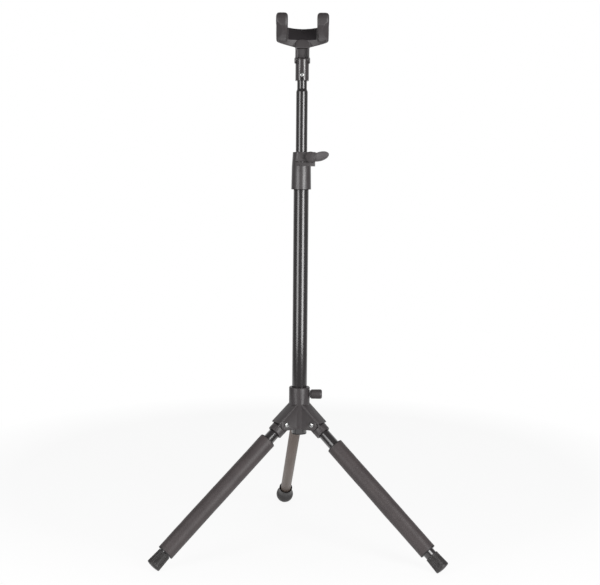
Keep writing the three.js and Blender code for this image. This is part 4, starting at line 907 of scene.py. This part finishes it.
pattern = linked("pivot_screw_pattern", pivot_screw)
points = points_with_directions([pivot_face(leg, HEAD_SIDE[leg]) for leg in LEG])
screws = run_tree(points, fastening, fastening_keys, Fastener=pattern, Finish=ZINC)
bpy.data.objects.remove(pattern)
settle("pivot_screws", screws, ZINC, "hub", [leg + "_pivot_screw" for leg in LEG])
print("Three pivot screws,", len(screws.polygons), "faces")

# %% Nuts, bolt, pin and the other screws
HARDWARE_EDGE = 0.2
HARDWARE = [
    ("left_pivot_nut", "hub"), ("right_pivot_nut", "hub"), ("rear_pivot_nut", "hub"),
    ("knob_screw", "hub_knob"), ("clamp_nut", "lower_column"), ("clamp_bolt", "clamp_lever"),
    ("socket_screw", "upper_column"), ("yoke_hinge_pin", "upper_column"),
]
for node, body in HARDWARE:
    settle(node + "_zinc", rounded(node, HARDWARE_EDGE), ZINC, body, [node])
print(len(HARDWARE), "small pieces of hardware")

# %% [markdown]
# ## Camera
# The photograph was taken with a long lens from about 1.7 m, a little above the middle of the stand,
# looking 5 degrees down and tilted by half a degree. Those numbers come from fitting a pinhole camera
# to the edges of the tubes, legs and feet.

# %% Camera
CAMERA_DISTANCE, CAMERA_HEIGHT, CAMERA_SIDE = 1.7136, 0.5803, -0.00044
PITCH, ROLL = math.radians(5.039), math.radians(0.495)
SENSOR_WIDTH, LENS = 36.0, 62.2

camera_data = bpy.data.cameras.new("camera")
camera_data.sensor_width = SENSOR_WIDTH
camera_data.lens = LENS
camera = linked("camera", camera_data)
place = Matrix.Translation((tube_middle.x + CAMERA_SIDE, tube_middle.y - CAMERA_DISTANCE, CAMERA_HEIGHT))
look = Matrix.Rotation(math.pi / 2 - PITCH, 4, "X") @ Matrix.Rotation(ROLL, 4, "Z")
camera.matrix_world = place @ look
bpy.context.scene.camera = camera
print("Camera at", [round(v, 3) for v in camera.location])

# %% [markdown]
# ## Light
# Two tall strip lights stand in front, one on each side, as in a small product studio. Each one draws a
# bright line down the gloss tubes, and the right one is stronger. The world is plain white to the
# camera. To the stand it is a pale backdrop behind and a darker room on the camera's side, so the tubes
# have dark middles and pale edges, and what they reflect from behind is the white backdrop. The floor
# is a round white card that ends shortly in front of the feet, so that the tubes reflect little of it
# and keep their lines nearly down to the hub.

# %% Strip lights
STRIP_DISTANCE, STRIP_WIDTH, STRIP_BOTTOM, STRIP_TOP = 1.15, 0.5, 0.0, 1.16
STRIPS = (("left_strip", -43, 3.4), ("right_strip", 36, 6.0))
POWER_FOR_RADIANCE = 4


def soft_box(name, width, height, radiance, place, aim):
    """An area light, in metres, whose face shines with this radiance."""
    data = bpy.data.lights.new(name, "AREA")
    data.shape = "RECTANGLE"
    data.size = width
    data.size_y = height
    data.energy = POWER_FOR_RADIANCE * radiance * width * height
    lamp = linked(name, data)
    turned = (Vector(aim) - Vector(place)).to_track_quat("-Z", "Y").to_matrix().to_4x4()
    lamp.matrix_world = Matrix.Translation(place) @ turned
    lamp.visible_camera = False


for name, degrees, radiance in STRIPS:
    angle = math.radians(degrees)
    x = tube_middle.x + STRIP_DISTANCE * math.sin(angle)
    y = tube_middle.y - STRIP_DISTANCE * math.cos(angle)
    height, middle = STRIP_TOP - STRIP_BOTTOM, (STRIP_TOP + STRIP_BOTTOM) / 2
    soft_box(name, STRIP_WIDTH, height, radiance, (x, y, middle), (tube_middle.x, tube_middle.y, middle))
print("Two strip lights")

# %% World and floor
def camera_ray(tree):
    return tree.node("ShaderNodeLightPath", output="Is Camera Ray")


def reflected_ray(tree):
    """1 for a ray that comes off metal or gloss, or through glass."""
    glossy = tree.node("ShaderNodeLightPath", output="Is Glossy Ray")
    return glossy + tree.node("ShaderNodeLightPath", output="Is Transmission Ray")


ROOM_LEVEL, BACKDROP_LEVEL = 0.24, 0.9
BRIGHTENING, MIRRORED_BACKDROP = (0.35, 0.8), (0.7, 0.9)
WHITE = (1, 1, 1, 1)


def studio_world():
    """White to the camera. To the stand, a dark room in front that brightens into a white backdrop."""
    world = bpy.data.worlds.new("studio")
    world.use_nodes = True
    bpy.context.scene.world = world
    tree = Tree(world.node_tree)
    world.node_tree.nodes.clear()
    direction = tree.node("ShaderNodeTexCoord", output="Generated")
    depth = tree.axes(direction, "Y")[0]
    shade = tree.spread(depth, *BRIGHTENING, ROOM_LEVEL, BACKDROP_LEVEL)
    backdrop = camera_ray(tree) + reflected_ray(tree) * tree.spread(depth, *MIRRORED_BACKDROP)
    strength = tree.scalar("MAXIMUM", shade, backdrop)
    light = tree.node("ShaderNodeBackground", None, {"Color": WHITE, "Strength": strength})
    tree.node("ShaderNodeOutputWorld", None, {"Surface": light})


FLOOR_RADIUS, FLOOR_CENTRE, FLOOR_SIDES = 0.85, (0.0, 0.45, 0.0), 96
FADE_START, WHITE_NEAR = 0.6, 0.9


def pale_floor():
    """White card. To the camera and in reflections a tenth of it takes the shadow, and none at its rim."""
    finish = Finish("white_card")
    fibre = finish.cloud(3.0, detail=3.0)
    far = finish.vector("DISTANCE", finish.place, FLOOR_CENTRE, output="Value")
    fade = finish.spread(far, FADE_START, FLOOR_RADIUS, WHITE_NEAR, 1.0)
    paper = finish.mix(fibre, srgb("f0f0f0"), srgb("f6f6f6"))
    card = finish.node("ShaderNodeBsdfDiffuse", None, {"Color": paper})
    white = finish.node("ShaderNodeEmission", None, {"Color": WHITE, "Strength": 1.0})
    seen = camera_ray(finish) + reflected_ray(finish)
    return finish.done(finish.either(seen * fade, card, white))


studio_world()
floor_mesh = bpy.data.meshes.new("floor")
angles = [2 * math.pi * i / FLOOR_SIDES for i in range(FLOOR_SIDES)]
rim = [(FLOOR_RADIUS * math.cos(a), FLOOR_CENTRE[1] + FLOOR_RADIUS * math.sin(a), 0) for a in angles]
floor_mesh.from_pydata(rim, [], [range(FLOOR_SIDES)])
floor_mesh.materials.append(pale_floor())
floor = linked("floor", floor_mesh)
bpy.context.scene.view_settings.view_transform = "Standard"
print("White world and floor")
